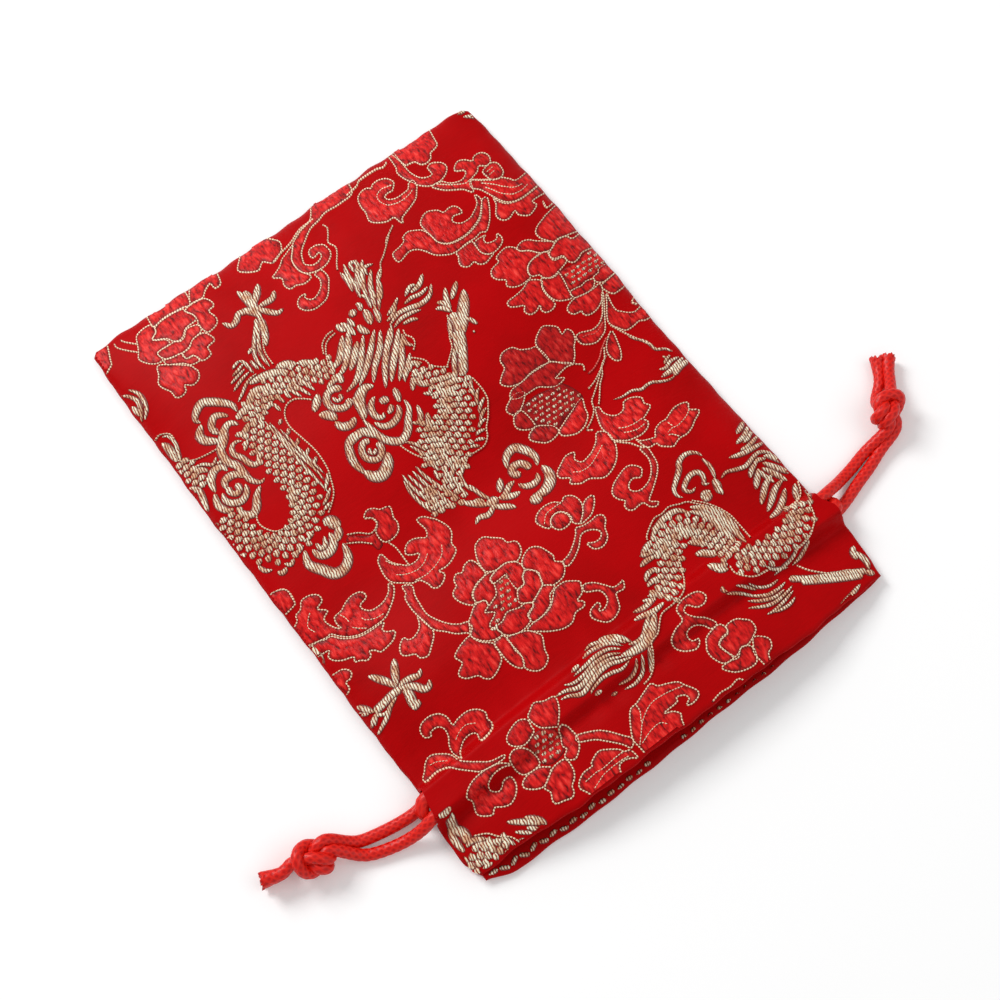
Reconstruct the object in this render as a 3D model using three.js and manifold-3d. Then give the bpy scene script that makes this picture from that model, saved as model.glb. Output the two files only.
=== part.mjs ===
// A kinchaku, a small drawstring pouch of satin brocade. It lies on its back panel, with its mouth towards +Y.
// Two cut panels are sewn together at the sides and the closed end. Each panel's top is turned in and stitched
// in two rows, which makes a channel, and two cords run through both channels from opposite sides.
// Millimetres, +Z up, origin under the middle of the pouch.
import * as THREE from "three";
import { mergeVertices } from "three/addons/utils/BufferGeometryUtils.js";
import Module from "manifold-3d";

const wasm = await Module();
wasm.setup();

// Overall sizes of the pouch
const pouchWidth = 110; // between the side seams
const pouchLength = 159; // from the closed end to the back panel's mouth fold
const cornerRadius = 3; // at the closed end
const edgeBend = 2.6; // strip along an edge where the front panel turns down most
const edgeRim = 0.7; // and its outermost strip
const bodyHeight = 10.2; // top of the pouch above the table, in the middle of the body
const throat = 4.6; // open height between the two channels, on the centre line

// The cloth and its seams
const cloth = 0.5; // one layer of brocade
const seamAllowance = 6; // turned in along the side seams and the closed end
const contactGap = 0.3; // between pieces that touch
const seamLift = 0.75; // how far the seam's lower edge stands above the table
const seamCurl = 11; // width of the strip along a seam that lifts off the table
const gatherLength = 18; // over this length the body's full shape narrows into the hem
const endRise = 34; // how far from the closed end the pouch reaches its full height

// The hem: heading, channel and turned-in edge, measured from the mouth
const heading = 14.5; // from the mouth fold to the upper row of stitches
const channelWidth = 11.5; // between the two rows of stitches
const hemMargin = 1.5; // from the lower row to the turned-in edge of the cloth
const hemPrint = 8; // over this length the outer face rises to cover the turned-in edge
const rowLift = 0.7; // how far the stitches pull the back panel off the table
const rowSpread = 4; // width of the dent beside a row of stitches
const curlMargin = 2; // the seam's lift fades to nothing this far outside the rows of stitches
const mouthFall = 1.6; // how much lower the front's mouth edge is than its channel
const lowerRowFall = 0.5; // how far the lower row of stitches pulls the front panel down
const upperRowFall = 0.8; // and the upper row
const frontShortLeft = 0.6; // the front's mouth edge stops short of the back's, at the left side
const frontShortRight = 2.9; // and at the right side

// The cords
const cordDiameter = 2.8;
const cordFlattening = 0.6; // how much lower the cloth presses the cord in the channel
const cordSpreading = 0.7; // and how much wider
const laneGap = 0.4; // between the two cords in one channel
const cordClearance = 0.25; // between a cord and the cloth of the channel
const channelChamfer = 1.2; // where the channel's top and bottom close towards the stitches
const bightReach = 2.6; // how far a cord stands out where it passes from front to back

// Places along the pouch
const closedEnd = -pouchLength / 2;
const mouth = pouchLength / 2;
const upperRow = mouth - heading;
const lowerRow = upperRow - channelWidth;
const turnedEdge = lowerRow - hemMargin;
const channelMiddle = (upperRow + lowerRow) / 2;
const side = pouchWidth / 2;

// The channel's section, which follows from the cords in it
const cordPressedHeight = cordDiameter - cordFlattening;
const cordPressedWidth = cordDiameter + cordSpreading;
const laneOffset = (cordPressedWidth + laneGap) / 2;
const lowerLane = channelMiddle - laneOffset;
const upperLane = channelMiddle + laneOffset;
const tunnelHalfWidth = laneOffset + cordPressedWidth / 2 + cordClearance;
const tunnelHalfHeight = cordPressedHeight / 2 + cordClearance;
const tunnelLow = channelMiddle - tunnelHalfWidth;
const tunnelHigh = channelMiddle + tunnelHalfWidth;
const tunnelEndHalfHeight = tunnelHalfHeight / 2;
const channelHalf = tunnelHalfHeight + cloth; // half the thickness of a panel over its channel
const shoulderShare = 0.7;
const shoulderHalf = channelHalf * shoulderShare; // the same at the channel's edges

const materials = {
  brocade: () => new THREE.MeshStandardMaterial({ color: 0xb40f12, roughness: 0.5, metalness: 0 }),
  cord: () => new THREE.MeshStandardMaterial({ color: 0xdc2a18, roughness: 0.45, metalness: 0 }),
};

const pouch = new THREE.Group();

function add(name, geometry, material) {
  const mesh = new THREE.Mesh(geometry, material);
  mesh.name = name;
  pouch.add(mesh);
}

// Straight-line interpolation through [place, value] pairs in rising order.
function along(stations, place) {
  const last = stations.length - 1;
  if (place <= stations[0][0]) return stations[0][1];
  for (let i = 1; i <= last; i++) {
    const [start, low] = stations[i - 1];
    const [end, high] = stations[i];
    if (place <= end) return low + ((high - low) * (place - start)) / (end - start);
  }
  return stations[last][1];
}

// Thickness of a panel: one layer in the body, two in the seam allowance and the hem, more at the channel.
function thickness(x, y) {
  const step = cloth;
  const fromSide = side - Math.abs(x);
  const fromEnd = y - closedEnd;
  const edgeDistance = Math.min(fromSide, fromEnd);
  const body = along([[seamAllowance, 2 * cloth], [seamAllowance + step, cloth]], edgeDistance);
  const hem = along(
    [
      [turnedEdge - step, cloth],
      [turnedEdge, 2 * cloth],
      [lowerRow, 2 * cloth],
      [tunnelLow, 2 * shoulderHalf],
      [tunnelLow + channelChamfer, 2 * channelHalf],
      [tunnelHigh - channelChamfer, 2 * channelHalf],
      [tunnelHigh, 2 * shoulderHalf],
      [upperRow, 2 * cloth],
    ],
    y,
  );
  return Math.max(body, hem);
}

// From a panel's reference height to its outer face, which stays smooth where layers are added inside.
function outerReach(y) {
  return along(
    [
      [turnedEdge - hemPrint, cloth / 2],
      [lowerRow, cloth],
      [tunnelLow, shoulderHalf],
      [tunnelLow + channelChamfer, channelHalf],
      [tunnelHigh - channelChamfer, channelHalf],
      [tunnelHigh, shoulderHalf],
      [upperRow, cloth],
    ],
    y,
  );
}

// From the same height to the inner face beside a seam, where the cloth is double.
function seamReach(y) {
  return along(
    [
      [turnedEdge - hemPrint, 2 * cloth - cloth / 2],
      [lowerRow, cloth],
      [tunnelLow, channelHalf],
      [tunnelHigh, channelHalf],
      [upperRow, cloth],
    ],
    y,
  );
}

// How far the back panel's lower face stands off the table.
function backLift(x, y) {
  const nearSide = Math.max(0, 1 - (side - Math.abs(x)) / seamCurl);
  const nearEnd = Math.max(0, 1 - (y - closedEnd) / seamCurl);
  const away = along(
    [
      [lowerRow - curlMargin, 1],
      [tunnelLow, 0],
      [tunnelHigh, 0],
      [upperRow + curlMargin, 1],
    ],
    y,
  );
  const curl = seamLift * away * Math.min(1, nearSide ** 2 + nearEnd ** 2);
  const pulled = along(
    [
      [lowerRow - rowSpread, 0],
      [lowerRow, rowLift],
      [tunnelLow, channelHalf - shoulderHalf],
      [tunnelLow + channelChamfer, 0],
      [tunnelHigh - channelChamfer, 0],
      [tunnelHigh, channelHalf - shoulderHalf],
      [upperRow, rowLift],
      [upperRow + rowSpread, 0],
    ],
    y,
  );
  return Math.max(curl, pulled);
}

function backMiddle(x, y) {
  return backLift(x, y) + outerReach(y);
}

// Reference height of the front panel where it lies on the back panel, as it does along the seams.
function closedHeight(x, y) {
  return backMiddle(x, y) + seamReach(y) + contactGap + seamReach(y);
}

// Reference height of the front panel on the centre line.
const channelCrown = 3 * channelHalf + throat;
const crownStations = [
  [closedEnd, bodyHeight - cloth / 2],
  [turnedEdge - hemPrint, bodyHeight - cloth / 2],
  [lowerRow, channelCrown - lowerRowFall],
  [tunnelLow, channelCrown],
  [tunnelHigh, channelCrown],
  [upperRow, channelCrown - upperRowFall],
  [mouth, channelCrown - mouthFall],
];

// How the front's height falls from the centre line (1) to the side seams (0).
function sideArch(x, y) {
  const share = Math.min(1, Math.abs(x) / side);
  const puffed = (1 - share ** 2.4) ** 0.6;
  const gathered = (1 - share ** 2.6) ** 1.2;
  const hem = along([[lowerRow - gatherLength, 0], [lowerRow, 1]], y);
  return puffed + (gathered - puffed) * hem;
}

function endArch(y) {
  const share = Math.max(0, 1 - (y - closedEnd) / endRise);
  return (1 - share ** 2.4) ** 0.6;
}

function frontMiddle(x, y) {
  const low = closedHeight(x, y);
  const crown = along(crownStations, y);
  return low + (crown - low) * sideArch(x, y) * endArch(y);
}

// Grid lines across and along a panel, closer together where it bends.
const acrossShares = [0, 0.2, 0.4, 0.6, 0.78];
const acrossHalf = [
  ...acrossShares.map((share) => share * side),
  side - seamAllowance - cloth,
  side - seamAllowance,
  side - edgeBend,
  side - edgeRim,
  side,
];
const across = [...acrossHalf.slice(1).map((x) => -x).reverse(), ...acrossHalf];
const bodyStart = closedEnd + seamAllowance + cloth;
const bodyLines = [0.05, 0.12, 0.22, 0.36, 0.55, 0.75, 0.9];
const alongLines = [
  closedEnd,
  closedEnd + edgeRim,
  closedEnd + cornerRadius,
  closedEnd + seamAllowance,
  bodyStart,
  ...bodyLines.map((share) => bodyStart + share * (turnedEdge - cloth - bodyStart)),
  turnedEdge - cloth,
  turnedEdge,
  lowerRow,
  tunnelLow,
  tunnelLow + channelChamfer,
  tunnelHigh - channelChamfer,
  tunnelHigh,
  upperRow,
  upperRow + rowSpread,
  (upperRow + mouth) / 2 + 1,
  mouth,
];

// A closed solid between two heights over a grid. place moves a grid point (x, y) in its plane.
function gridSolid(xs, ys, top, bottom, place = (x, y) => [x, y]) {
  const points = [];
  for (const height of [top, bottom])
    for (const y of ys)
      for (const x of xs) {
        const [px, py] = place(x, y);
        points.push(px, py, height(x, y));
      }
  const columns = xs.length;
  const layer = columns * ys.length;
  const triangles = [];
  const quad = (a, b, c, d) => triangles.push(a, b, c, a, c, d);
  for (let row = 0; row < ys.length - 1; row++)
    for (let column = 0; column < columns - 1; column++) {
      const a = row * columns + column;
      quad(a, a + 1, a + 1 + columns, a + columns);
      quad(layer + a + columns, layer + a + 1 + columns, layer + a + 1, layer + a);
    }
  for (let column = 0; column < columns - 1; column++) {
    const far = (ys.length - 1) * columns + column;
    quad(layer + column, layer + column + 1, column + 1, column);
    quad(far, far + 1, layer + far + 1, layer + far);
  }
  for (let row = 0; row < ys.length - 1; row++) {
    const left = row * columns;
    const right = left + columns - 1;
    quad(left, left + columns, layer + left + columns, layer + left);
    quad(layer + right, layer + right + columns, right + columns, right);
  }
  const geometry = new THREE.BufferGeometry();
  geometry.setAttribute("position", new THREE.Float32BufferAttribute(points, 3));
  geometry.setIndex(triangles);
  return geometry;
}

function toSolid(geometry) {
  const merged = mergeVertices(geometry, 1e-4);
  return new wasm.Manifold(
    new wasm.Mesh({
      numProp: 3,
      vertProperties: merged.attributes.position.array,
      triVerts: new Uint32Array(merged.index.array),
    }),
  );
}

function toGeometry(solid) {
  const mesh = solid.getMesh();
  const geometry = new THREE.BufferGeometry();
  geometry.setAttribute("position", new THREE.Float32BufferAttribute(mesh.vertProperties, 3));
  geometry.setIndex(new THREE.BufferAttribute(mesh.triVerts, 1));
  geometry.computeVertexNormals();
  return geometry;
}

// Rounded corners at the closed end, and the front's slanting mouth edge.
function cornerInset(y) {
  const short = Math.max(0, cornerRadius - (y - closedEnd));
  return cornerRadius - Math.sqrt(cornerRadius ** 2 - short ** 2);
}

function placePanel(x, y, shortfall) {
  const width = (side - cornerInset(y)) / side;
  const reach = Math.max(0, (y - upperRow) / heading);
  return [x * width, y - shortfall * reach];
}

function frontShortfall(x) {
  const share = (x + side) / pouchWidth;
  return frontShortLeft + (frontShortRight - frontShortLeft) * share ** 1.5;
}

// The channel is a flat tunnel that runs out through both side edges.
const tunnelStations = [
  [tunnelLow, tunnelEndHalfHeight],
  [tunnelLow + channelChamfer, tunnelHalfHeight],
  [tunnelHigh - channelChamfer, tunnelHalfHeight],
  [tunnelHigh, tunnelEndHalfHeight],
];

function channelTunnel(middle) {
  const overrun = 2;
  const xs = [-side - overrun, ...across, side + overrun];
  const ys = tunnelStations.map(([y]) => y);
  const inside = (x) => Math.max(-side, Math.min(side, x));
  const top = (x, y) => middle(inside(x), y) + along(tunnelStations, y);
  const bottom = (x, y) => middle(inside(x), y) - along(tunnelStations, y);
  return gridSolid(xs, ys, top, bottom);
}

// facing is +1 for the panel whose outer face is up, and -1 for the one that lies on the table.
function panel(facing, middle, shortfall) {
  const outer = (x, y) => middle(x, y) + facing * outerReach(y);
  const inner = (x, y) => outer(x, y) - facing * thickness(x, y);
  const [top, bottom] = facing > 0 ? [outer, inner] : [inner, outer];
  const place = (x, y) => placePanel(x, y, shortfall(x));
  const cut = gridSolid(across, alongLines, top, bottom, place);
  return toGeometry(toSolid(cut).subtract(toSolid(channelTunnel(middle))));
}

add("back_panel", panel(-1, backMiddle, () => 0), materials.brocade());
add("front_panel", panel(1, frontMiddle, frontShortfall), materials.brocade());

// A line through points, with a section at each one, so that a bend is as fine as its points.
class PointRoute extends THREE.Curve {
  constructor(points) {
    super();
    this.points = points.map((point) => new THREE.Vector3(...point));
  }

  getPoint(share, target = new THREE.Vector3()) {
    const last = this.points.length - 1;
    const place = Math.min(Math.max(share, 0), 1) * last;
    const index = Math.min(Math.floor(place + 1e-9), last - 1);
    return target.lerpVectors(this.points[index], this.points[index + 1], place - index);
  }

  getPointAt(share, target) {
    return this.getPoint(share, target);
  }

  getTangentAt(share, target = new THREE.Vector3()) {
    const step = 0.5 / (this.points.length - 1);
    const before = this.getPoint(share - step);
    const after = this.getPoint(share + step);
    return target.subVectors(after, before).normalize();
  }

  // Frames that keep a section's width along Y, so that a flat cord isn't twisted where it turns back.
  computeFrenetFrames(segments) {
    const frames = { tangents: [], normals: [], binormals: [] };
    for (let i = 0; i <= segments; i++) {
      const tangent = this.getTangentAt(i / segments);
      const normal = new THREE.Vector3(0, 1, 0).addScaledVector(tangent, -tangent.y).normalize();
      frames.tangents.push(tangent);
      frames.normals.push(normal);
      frames.binormals.push(new THREE.Vector3().crossVectors(tangent, normal));
    }
    return frames;
  }
}

function oval(width, height, sides) {
  const corners = [];
  for (let i = 0; i < sides; i++) {
    const angle = (2 * Math.PI * (i + 0.5)) / sides;
    corners.push(new THREE.Vector2((width / 2) * Math.cos(angle), (height / 2) * Math.sin(angle)));
  }
  return new THREE.Shape(corners);
}

function swept(section, path, steps) {
  const geometry = new THREE.ExtrudeGeometry(section, { extrudePath: path, steps, bevelEnabled: false });
  geometry.deleteAttribute("normal");
  geometry.deleteAttribute("uv");
  return mergeVertices(geometry, 1e-4);
}

const cordSides = 8;

// The part of a drawstring that the pouch holds: along the front channel, round the far slit and back again.
// exitSide is -1 for the cord whose ends leave at the left, and +1 for the other.
function heldRun(exitSide) {
  const frontLane = exitSide < 0 ? lowerLane : upperLane;
  const backLane = exitSide < 0 ? upperLane : lowerLane;
  const farSide = -exitSide;
  const outward = across.map((x) => x * farSide).sort((a, b) => (a - b) * farSide);
  const front = outward.map((x) => [x, frontLane, frontMiddle(x, frontLane)]);
  const back = outward.map((x) => [x, backLane, backMiddle(x, backLane)]).reverse();
  const high = frontMiddle(side, frontLane);
  const low = backMiddle(side, backLane);
  const turns = 6;
  const bight = [];
  for (let i = 1; i < turns; i++) {
    const angle = (Math.PI * i) / turns;
    const out = side + bightReach * Math.sin(angle);
    const swing = (1 - Math.cos(angle)) / 2;
    bight.push([farSide * out, frontLane + (backLane - frontLane) * swing, high + (low - high) * swing]);
  }
  const points = [...front, ...bight, ...back];
  const section = oval(cordPressedWidth, cordPressedHeight, cordSides);
  return swept(section, new PointRoute(points), points.length - 1);
}

// A free stretch of cord on a smooth line through points that were chosen by hand.
function freeRun(points, steps) {
  const curve = new THREE.CatmullRomCurve3(points.map((point) => new THREE.Vector3(...point)));
  return swept(oval(cordDiameter, cordDiameter, cordSides), curve, steps);
}

// A knot's outer shape: a rounded lump, longest along the cord.
function knotLump(centre, length, width, height, heading) {
  const geometry = new THREE.SphereGeometry(0.5, 14, 10);
  geometry.rotateX(Math.PI / 2);
  geometry.scale(length, width, height);
  geometry.rotateZ(heading);
  geometry.translate(...centre);
  geometry.deleteAttribute("normal");
  geometry.deleteAttribute("uv");
  return mergeVertices(geometry, 1e-4);
}

add("left_drawstring_in_channel", heldRun(-1), materials.cord());
add("right_drawstring_in_channel", heldRun(1), materials.cord());

// Free ends of the left drawstring. The first strand comes from the front channel, the second from the back one.
const leftFrontStrand = [
  [-56.0, 57.2, 5.85],
  [-58.0, 56.1, 5.4],
  [-60.8, 55.6, 3.9],
  [-64.6, 55.0, 2.1],
  [-69.2, 54.1, 1.5],
  [-73.6, 52.7, 1.6],
  [-76.6, 51.6, 2.3],
];
const leftBackStrand = [
  [-56.0, 61.3, 1.85],
  [-58.4, 62.1, 1.6],
  [-62.6, 61.6, 1.45],
  [-66.9, 60.4, 1.45],
  [-71.6, 58.5, 1.5],
  [-75.4, 56.4, 1.9],
  [-78.1, 54.2, 2.5],
];
const leftKnot = { centre: [-82.6, 49.6, 3.7], length: 12.4, width: 10.2, height: 7.2, heading: -2.37 };
const leftTails = [
  [
    [-86.3, 43.6, 2.5],
    [-88.1, 40.6, 1.6],
    [-90.6, 37.4, 1.5],
  ],
  [
    [-88.6, 45.9, 2.5],
    [-90.7, 42.4, 1.6],
    [-93.7, 38.9, 1.5],
  ],
];

// Free ends of the right drawstring.
const rightFrontStrand = [
  [56.0, 61.4, 5.85],
  [57.7, 62.9, 5.5],
  [60.6, 63.2, 4.0],
  [64.3, 62.7, 2.3],
  [68.5, 61.3, 1.6],
  [73.6, 58.7, 1.6],
  [77.3, 56.0, 2.3],
];
const rightBackStrand = [
  [56.0, 57.1, 1.85],
  [57.8, 56.3, 1.6],
  [62.2, 56.6, 1.45],
  [67.7, 55.4, 1.45],
  [72.6, 53.7, 1.7],
  [76.3, 52.9, 2.4],
];
const rightKnot = { centre: [82.3, 52.2, 3.7], length: 11.4, width: 10.4, height: 7.2, heading: -0.27 };
const rightTails = [
  [
    [88.5, 51.0, 1.8],
    [90.6, 50.2, 1.5],
    [93.4, 49.3, 1.5],
  ],
  [
    [88.4, 51.6, 4.9],
    [90.6, 50.7, 4.7],
    [93.0, 49.9, 4.6],
  ],
];

const drawstringEnds = {
  left: { strands: [leftFrontStrand, leftBackStrand], knot: leftKnot, tails: leftTails },
  right: { strands: [rightFrontStrand, rightBackStrand], knot: rightKnot, tails: rightTails },
};

for (const [name, ends] of Object.entries(drawstringEnds)) {
  const [front, back] = ends.strands;
  const [first, second] = ends.tails;
  const knot = ends.knot;
  add(`${name}_front_strand`, freeRun(front, 10), materials.cord());
  add(`${name}_back_strand`, freeRun(back, 10), materials.cord());
  const lump = knotLump(knot.centre, knot.length, knot.width, knot.height, knot.heading);
  add(`${name}_knot`, lump, materials.cord());
  add(`${name}_first_tail`, freeRun(first, 3), materials.cord());
  add(`${name}_second_tail`, freeRun(second, 3), materials.cord());
}

export default pouch;
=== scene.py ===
# %% [markdown]
# A small drawstring pouch of red satin brocade
#
# The pouch is two panels of woven silk-like cloth, sewn together at three sides. The top of each panel is
# folded in and stitched in two rows, and the tunnel between the rows holds two cords. One cord leaves at
# the left and the other at the right, so that pulling both closes the mouth.
#
# The measured model gives every piece its real size and place. This notebook makes the looks: the cords
# and their knots, the soft cloth, and the figures that are woven into it. Lengths here are in millimetres
# where a name says mm, because that is how a sewer measures, and they become metres when a mesh is made.

# %% Load the measured model
import math

import bpy
import numpy as np
from mathutils import Matrix, Vector
from mathutils.geometry import delaunay_2d_cdt


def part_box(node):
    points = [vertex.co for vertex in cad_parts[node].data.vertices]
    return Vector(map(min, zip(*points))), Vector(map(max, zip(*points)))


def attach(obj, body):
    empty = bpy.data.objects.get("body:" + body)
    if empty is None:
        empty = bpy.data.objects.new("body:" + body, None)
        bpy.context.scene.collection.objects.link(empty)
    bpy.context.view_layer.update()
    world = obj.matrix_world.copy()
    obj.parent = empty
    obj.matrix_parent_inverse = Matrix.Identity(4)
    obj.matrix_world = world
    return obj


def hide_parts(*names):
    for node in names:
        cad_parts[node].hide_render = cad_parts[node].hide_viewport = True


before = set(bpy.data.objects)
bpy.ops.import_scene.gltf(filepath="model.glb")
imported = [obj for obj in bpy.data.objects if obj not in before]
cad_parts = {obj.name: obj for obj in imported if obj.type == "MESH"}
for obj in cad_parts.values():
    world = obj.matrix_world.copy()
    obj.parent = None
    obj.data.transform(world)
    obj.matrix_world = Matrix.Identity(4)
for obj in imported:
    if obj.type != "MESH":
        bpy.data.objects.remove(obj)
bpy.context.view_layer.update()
scene = bpy.context.scene
scene.view_settings.view_transform = "Standard"
MM = 0.001
print("measured pieces:", ", ".join(sorted(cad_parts)))

# %% [markdown]
# The camera
#
# The pouch lies on a table and the camera looks down at it from above the mouth's side. The picture is
# square. Its focal length was found from the pouch's four corners, which show how much the far end
# shrinks.

# %% Place the camera
PICTURE_SIDE_PX = 1000
FOCAL_LENGTH_PX = 1679.3
SENSOR_MM = 36.0
EYE_MM = Vector((73.1, 135.7, 360.4))
AIM_MM = Vector((0.52, 10.67, 0.0))
PICTURE_UP = Vector((-0.57597, -0.72943, 0.36905))


def look_from(eye, aim, up):
    """A camera's matrix: it stands at eye, looks at aim, and up is towards the top of the picture."""
    back = (eye - aim).normalized()
    right = up.cross(back).normalized()
    true_up = back.cross(right)
    turn = Matrix((right, true_up, back)).transposed().to_4x4()
    return Matrix.Translation(eye) @ turn


camera_data = bpy.data.cameras.new("table_camera")
camera_data.sensor_width = SENSOR_MM
camera_data.lens = FOCAL_LENGTH_PX / PICTURE_SIDE_PX * SENSOR_MM
camera = bpy.data.objects.new("table_camera", camera_data)
camera.matrix_world = look_from(EYE_MM * MM, AIM_MM * MM, PICTURE_UP)
scene.collection.objects.link(camera)
scene.camera = camera
print(f"lens {camera_data.lens:.1f} mm, camera {EYE_MM.z:.0f} mm above the table")

# %% [markdown]
# Node materials in a few words
#
# Every finish here is a small network of nodes. Two helpers keep the cells short: one adds a node and
# sets its inputs, the other joins two sockets. The pattern of a finish is read from the object's own
# coordinates, so it stays on the cloth when the camera moves.

# %% Two helpers for materials
def new_material(name, **settings):
    """A material with one Principled shader, whose inputs are set by name."""
    material = bpy.data.materials.new(name)
    material.use_nodes = True
    shader = material.node_tree.nodes["Principled BSDF"]
    for key, value in settings.items():
        shader.inputs[key.replace("_", " ")].default_value = value
    return material, shader


def add_node(material, kind, **settings):
    """Adds a node. A setting that is a property of the node is set there, any other is an input's value."""
    node = material.node_tree.nodes.new("ShaderNode" + kind)
    for key, value in settings.items():
        if hasattr(node, key):
            setattr(node, key, value)
        else:
            node.inputs[key.replace("_", " ")].default_value = value
    return node


def join(material, *pairs):
    """Joins sockets, given as (output, input) pairs."""
    for start, end in pairs:
        material.node_tree.links.new(start, end)


def colour_ramp(material, *stops):
    """A colour ramp with (place, colour) stops."""
    node = add_node(material, "ValToRGB")
    ramp = node.color_ramp
    for place, _ in stops[2:]:
        ramp.elements.new(place)
    for element, (place, colour) in zip(ramp.elements, stops):
        element.position = place
        element.color = (*colour, 1)
    return node


def srgb(red, green, blue):
    """A colour written as 0 to 255 on a screen, as the linear numbers that a shader needs."""
    values = [channel / 255 for channel in (red, green, blue)]
    return tuple(v / 12.92 if v <= 0.04045 else ((v + 0.055) / 1.055) ** 2.4 for v in values)


# %% [markdown]
# Smooth lines
#
# Cords and woven outlines are all drawn the same way: a few given points, and a smooth line through them.
# A Catmull-Rom curve passes through every point, which makes the points easy to choose. The line is then
# divided into equal steps, because beads and braids repeat by length.

# %% Draw a smooth line through points
CURVE_SAMPLES = 8


def smooth_line(points, step, closed=False):
    """Points about one step apart on a smooth line through the given points, in two or three dimensions."""
    points = np.asarray(points, dtype=float)
    if closed:
        ring = np.concatenate([points[-1:], points, points[:2]])
    else:
        ring = np.concatenate([2 * points[:1] - points[1:2], points, 2 * points[-1:] - points[-2:-1]])
    before, start, end, after = ring[:-3], ring[1:-2], ring[2:-1], ring[3:]
    share = (np.arange(CURVE_SAMPLES) / CURVE_SAMPLES)[None, :, None]
    before, start, end, after = (p[:, None, :] for p in (before, start, end, after))
    curve = start + 0.5 * share * (
        end - before
        + share * (2 * before - 5 * start + 4 * end - after + share * (3 * (start - end) + after - before))
    )
    last = points[:1] if closed else points[-1:]
    return even_steps(np.concatenate([curve.reshape(-1, points.shape[1]), last]), step)


def lengths_along(line):
    return np.concatenate([[0], np.cumsum(np.linalg.norm(np.diff(line, axis=0), axis=1))])


def even_steps(line, step):
    """The same line, with its points at equal distances of about one step."""
    reach = lengths_along(line)
    places = np.linspace(0, reach[-1], max(2, round(reach[-1] / step) + 1))
    return np.stack([np.interp(places, reach, line[:, k]) for k in range(line.shape[1])], axis=1)


def make_piece(name, points_mm, faces, material, values=None):
    """A smooth mesh object that rides on the pouch. values are numbers on its points, by name."""
    mesh = bpy.data.meshes.new(name)
    points = np.asarray(points_mm, dtype=np.float32) * MM
    mesh.vertices.add(len(points))
    mesh.vertices.foreach_set("co", points.ravel())
    sizes = np.array([len(face) for face in faces])
    corners = np.concatenate([np.asarray(face) for face in faces])
    mesh.loops.add(len(corners))
    mesh.loops.foreach_set("vertex_index", corners.astype(np.int32))
    mesh.polygons.add(len(sizes))
    starts = np.concatenate([[0], np.cumsum(sizes)[:-1]]).astype(np.int32)
    mesh.polygons.foreach_set("loop_start", starts)
    mesh.polygons.foreach_set("use_smooth", np.ones(len(sizes), dtype=bool))
    mesh.update(calc_edges=True)
    for key, numbers in (values or {}).items():
        layer = mesh.attributes.new(key, "FLOAT", "POINT")
        layer.data.foreach_set("value", np.asarray(numbers, dtype=np.float32))
    mesh.materials.append(material)
    piece = bpy.data.objects.new(name, mesh)
    scene.collection.objects.link(piece)
    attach(piece, "root")
    print(f"{name}: {len(points)} points, {len(sizes)} faces")
    return piece


# %% [markdown]
# The drawstrings
#
# Each drawstring is one soft braided cord, about 2.8 mm thick. It runs along the front channel, round the
# far slit and back along the back channel, and its two ends leave together and are tied in one overhand
# knot. The cords come before the cloth, because the channel is sewn to fit them.
#
# A cord could be a Blender curve with a round bevel. A mesh is used instead, because then the braid can
# be real relief: the radius rises and falls where the plaited strands pass over each other.

# %% The cord's finish
cord_satin, cord_shader = new_material("cord_satin", Roughness=0.38)
cord_shader.inputs["Specular IOR Level"].default_value = 0.3
braid = add_node(cord_satin, "Attribute", attribute_name="braid")
# Painted shade: the braid value darkens the cord in the grooves between its plaited strands and makes the
# tops of the strands lighter.
cord_colours = colour_ramp(
    cord_satin, (0.0, srgb(184, 8, 2)), (0.4, srgb(208, 14, 6)), (1.0, srgb(232, 32, 16))
)
cord_grain = add_node(cord_satin, "TexNoise", Scale=2600.0, Detail=2.0)
cord_place = add_node(cord_satin, "TexCoord")
cord_bump = add_node(cord_satin, "Bump", Strength=0.35, Distance=0.00012)
join(
    cord_satin,
    (braid.outputs["Fac"], cord_colours.inputs["Fac"]),
    (cord_colours.outputs["Color"], cord_shader.inputs["Base Color"]),
    (cord_place.outputs["Object"], cord_grain.inputs["Vector"]),
    (cord_grain.outputs["Fac"], cord_bump.inputs["Height"]),
    (cord_bump.outputs["Normal"], cord_shader.inputs["Normal"]),
)

# %% [markdown]
# A braided tube
#
# Rings of points stand across the line. Each ring takes over the last ring's direction with as little
# turning as it can, so the braid doesn't twist. The relief is the higher of two sets of ridges that wind
# round the cord in opposite directions, which is what a plait looks like from outside.

# %% Make a braided tube
CORD_MM = 2.8
CORD_SIDES = 32
CORD_STEP_MM = 0.32
BRAID_RIDGES = 6
BRAID_PITCH_MM = 1.7
BRAID_DEPTH = 0.045
FLARE_REACH_MM = 5.0
SPLAY = 0.35
RAGGED_MM = 1.6
random = np.random.default_rng(7)


def tube_frames(line):
    """Two directions across the line at each point, carried along with as little twist as possible."""
    tangents = np.gradient(line, axis=0)
    tangents /= np.linalg.norm(tangents, axis=1)[:, None]
    sideways = np.empty_like(line)
    sideways[0] = np.cross(tangents[0], (0, 0, 1))
    for i in range(1, len(line)):
        sideways[i] = sideways[i - 1]
        sideways[i] -= tangents[i] * sideways[i].dot(tangents[i])
    sideways /= np.linalg.norm(sideways, axis=1)[:, None]
    return tangents, sideways, np.cross(tangents, sideways)


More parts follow.
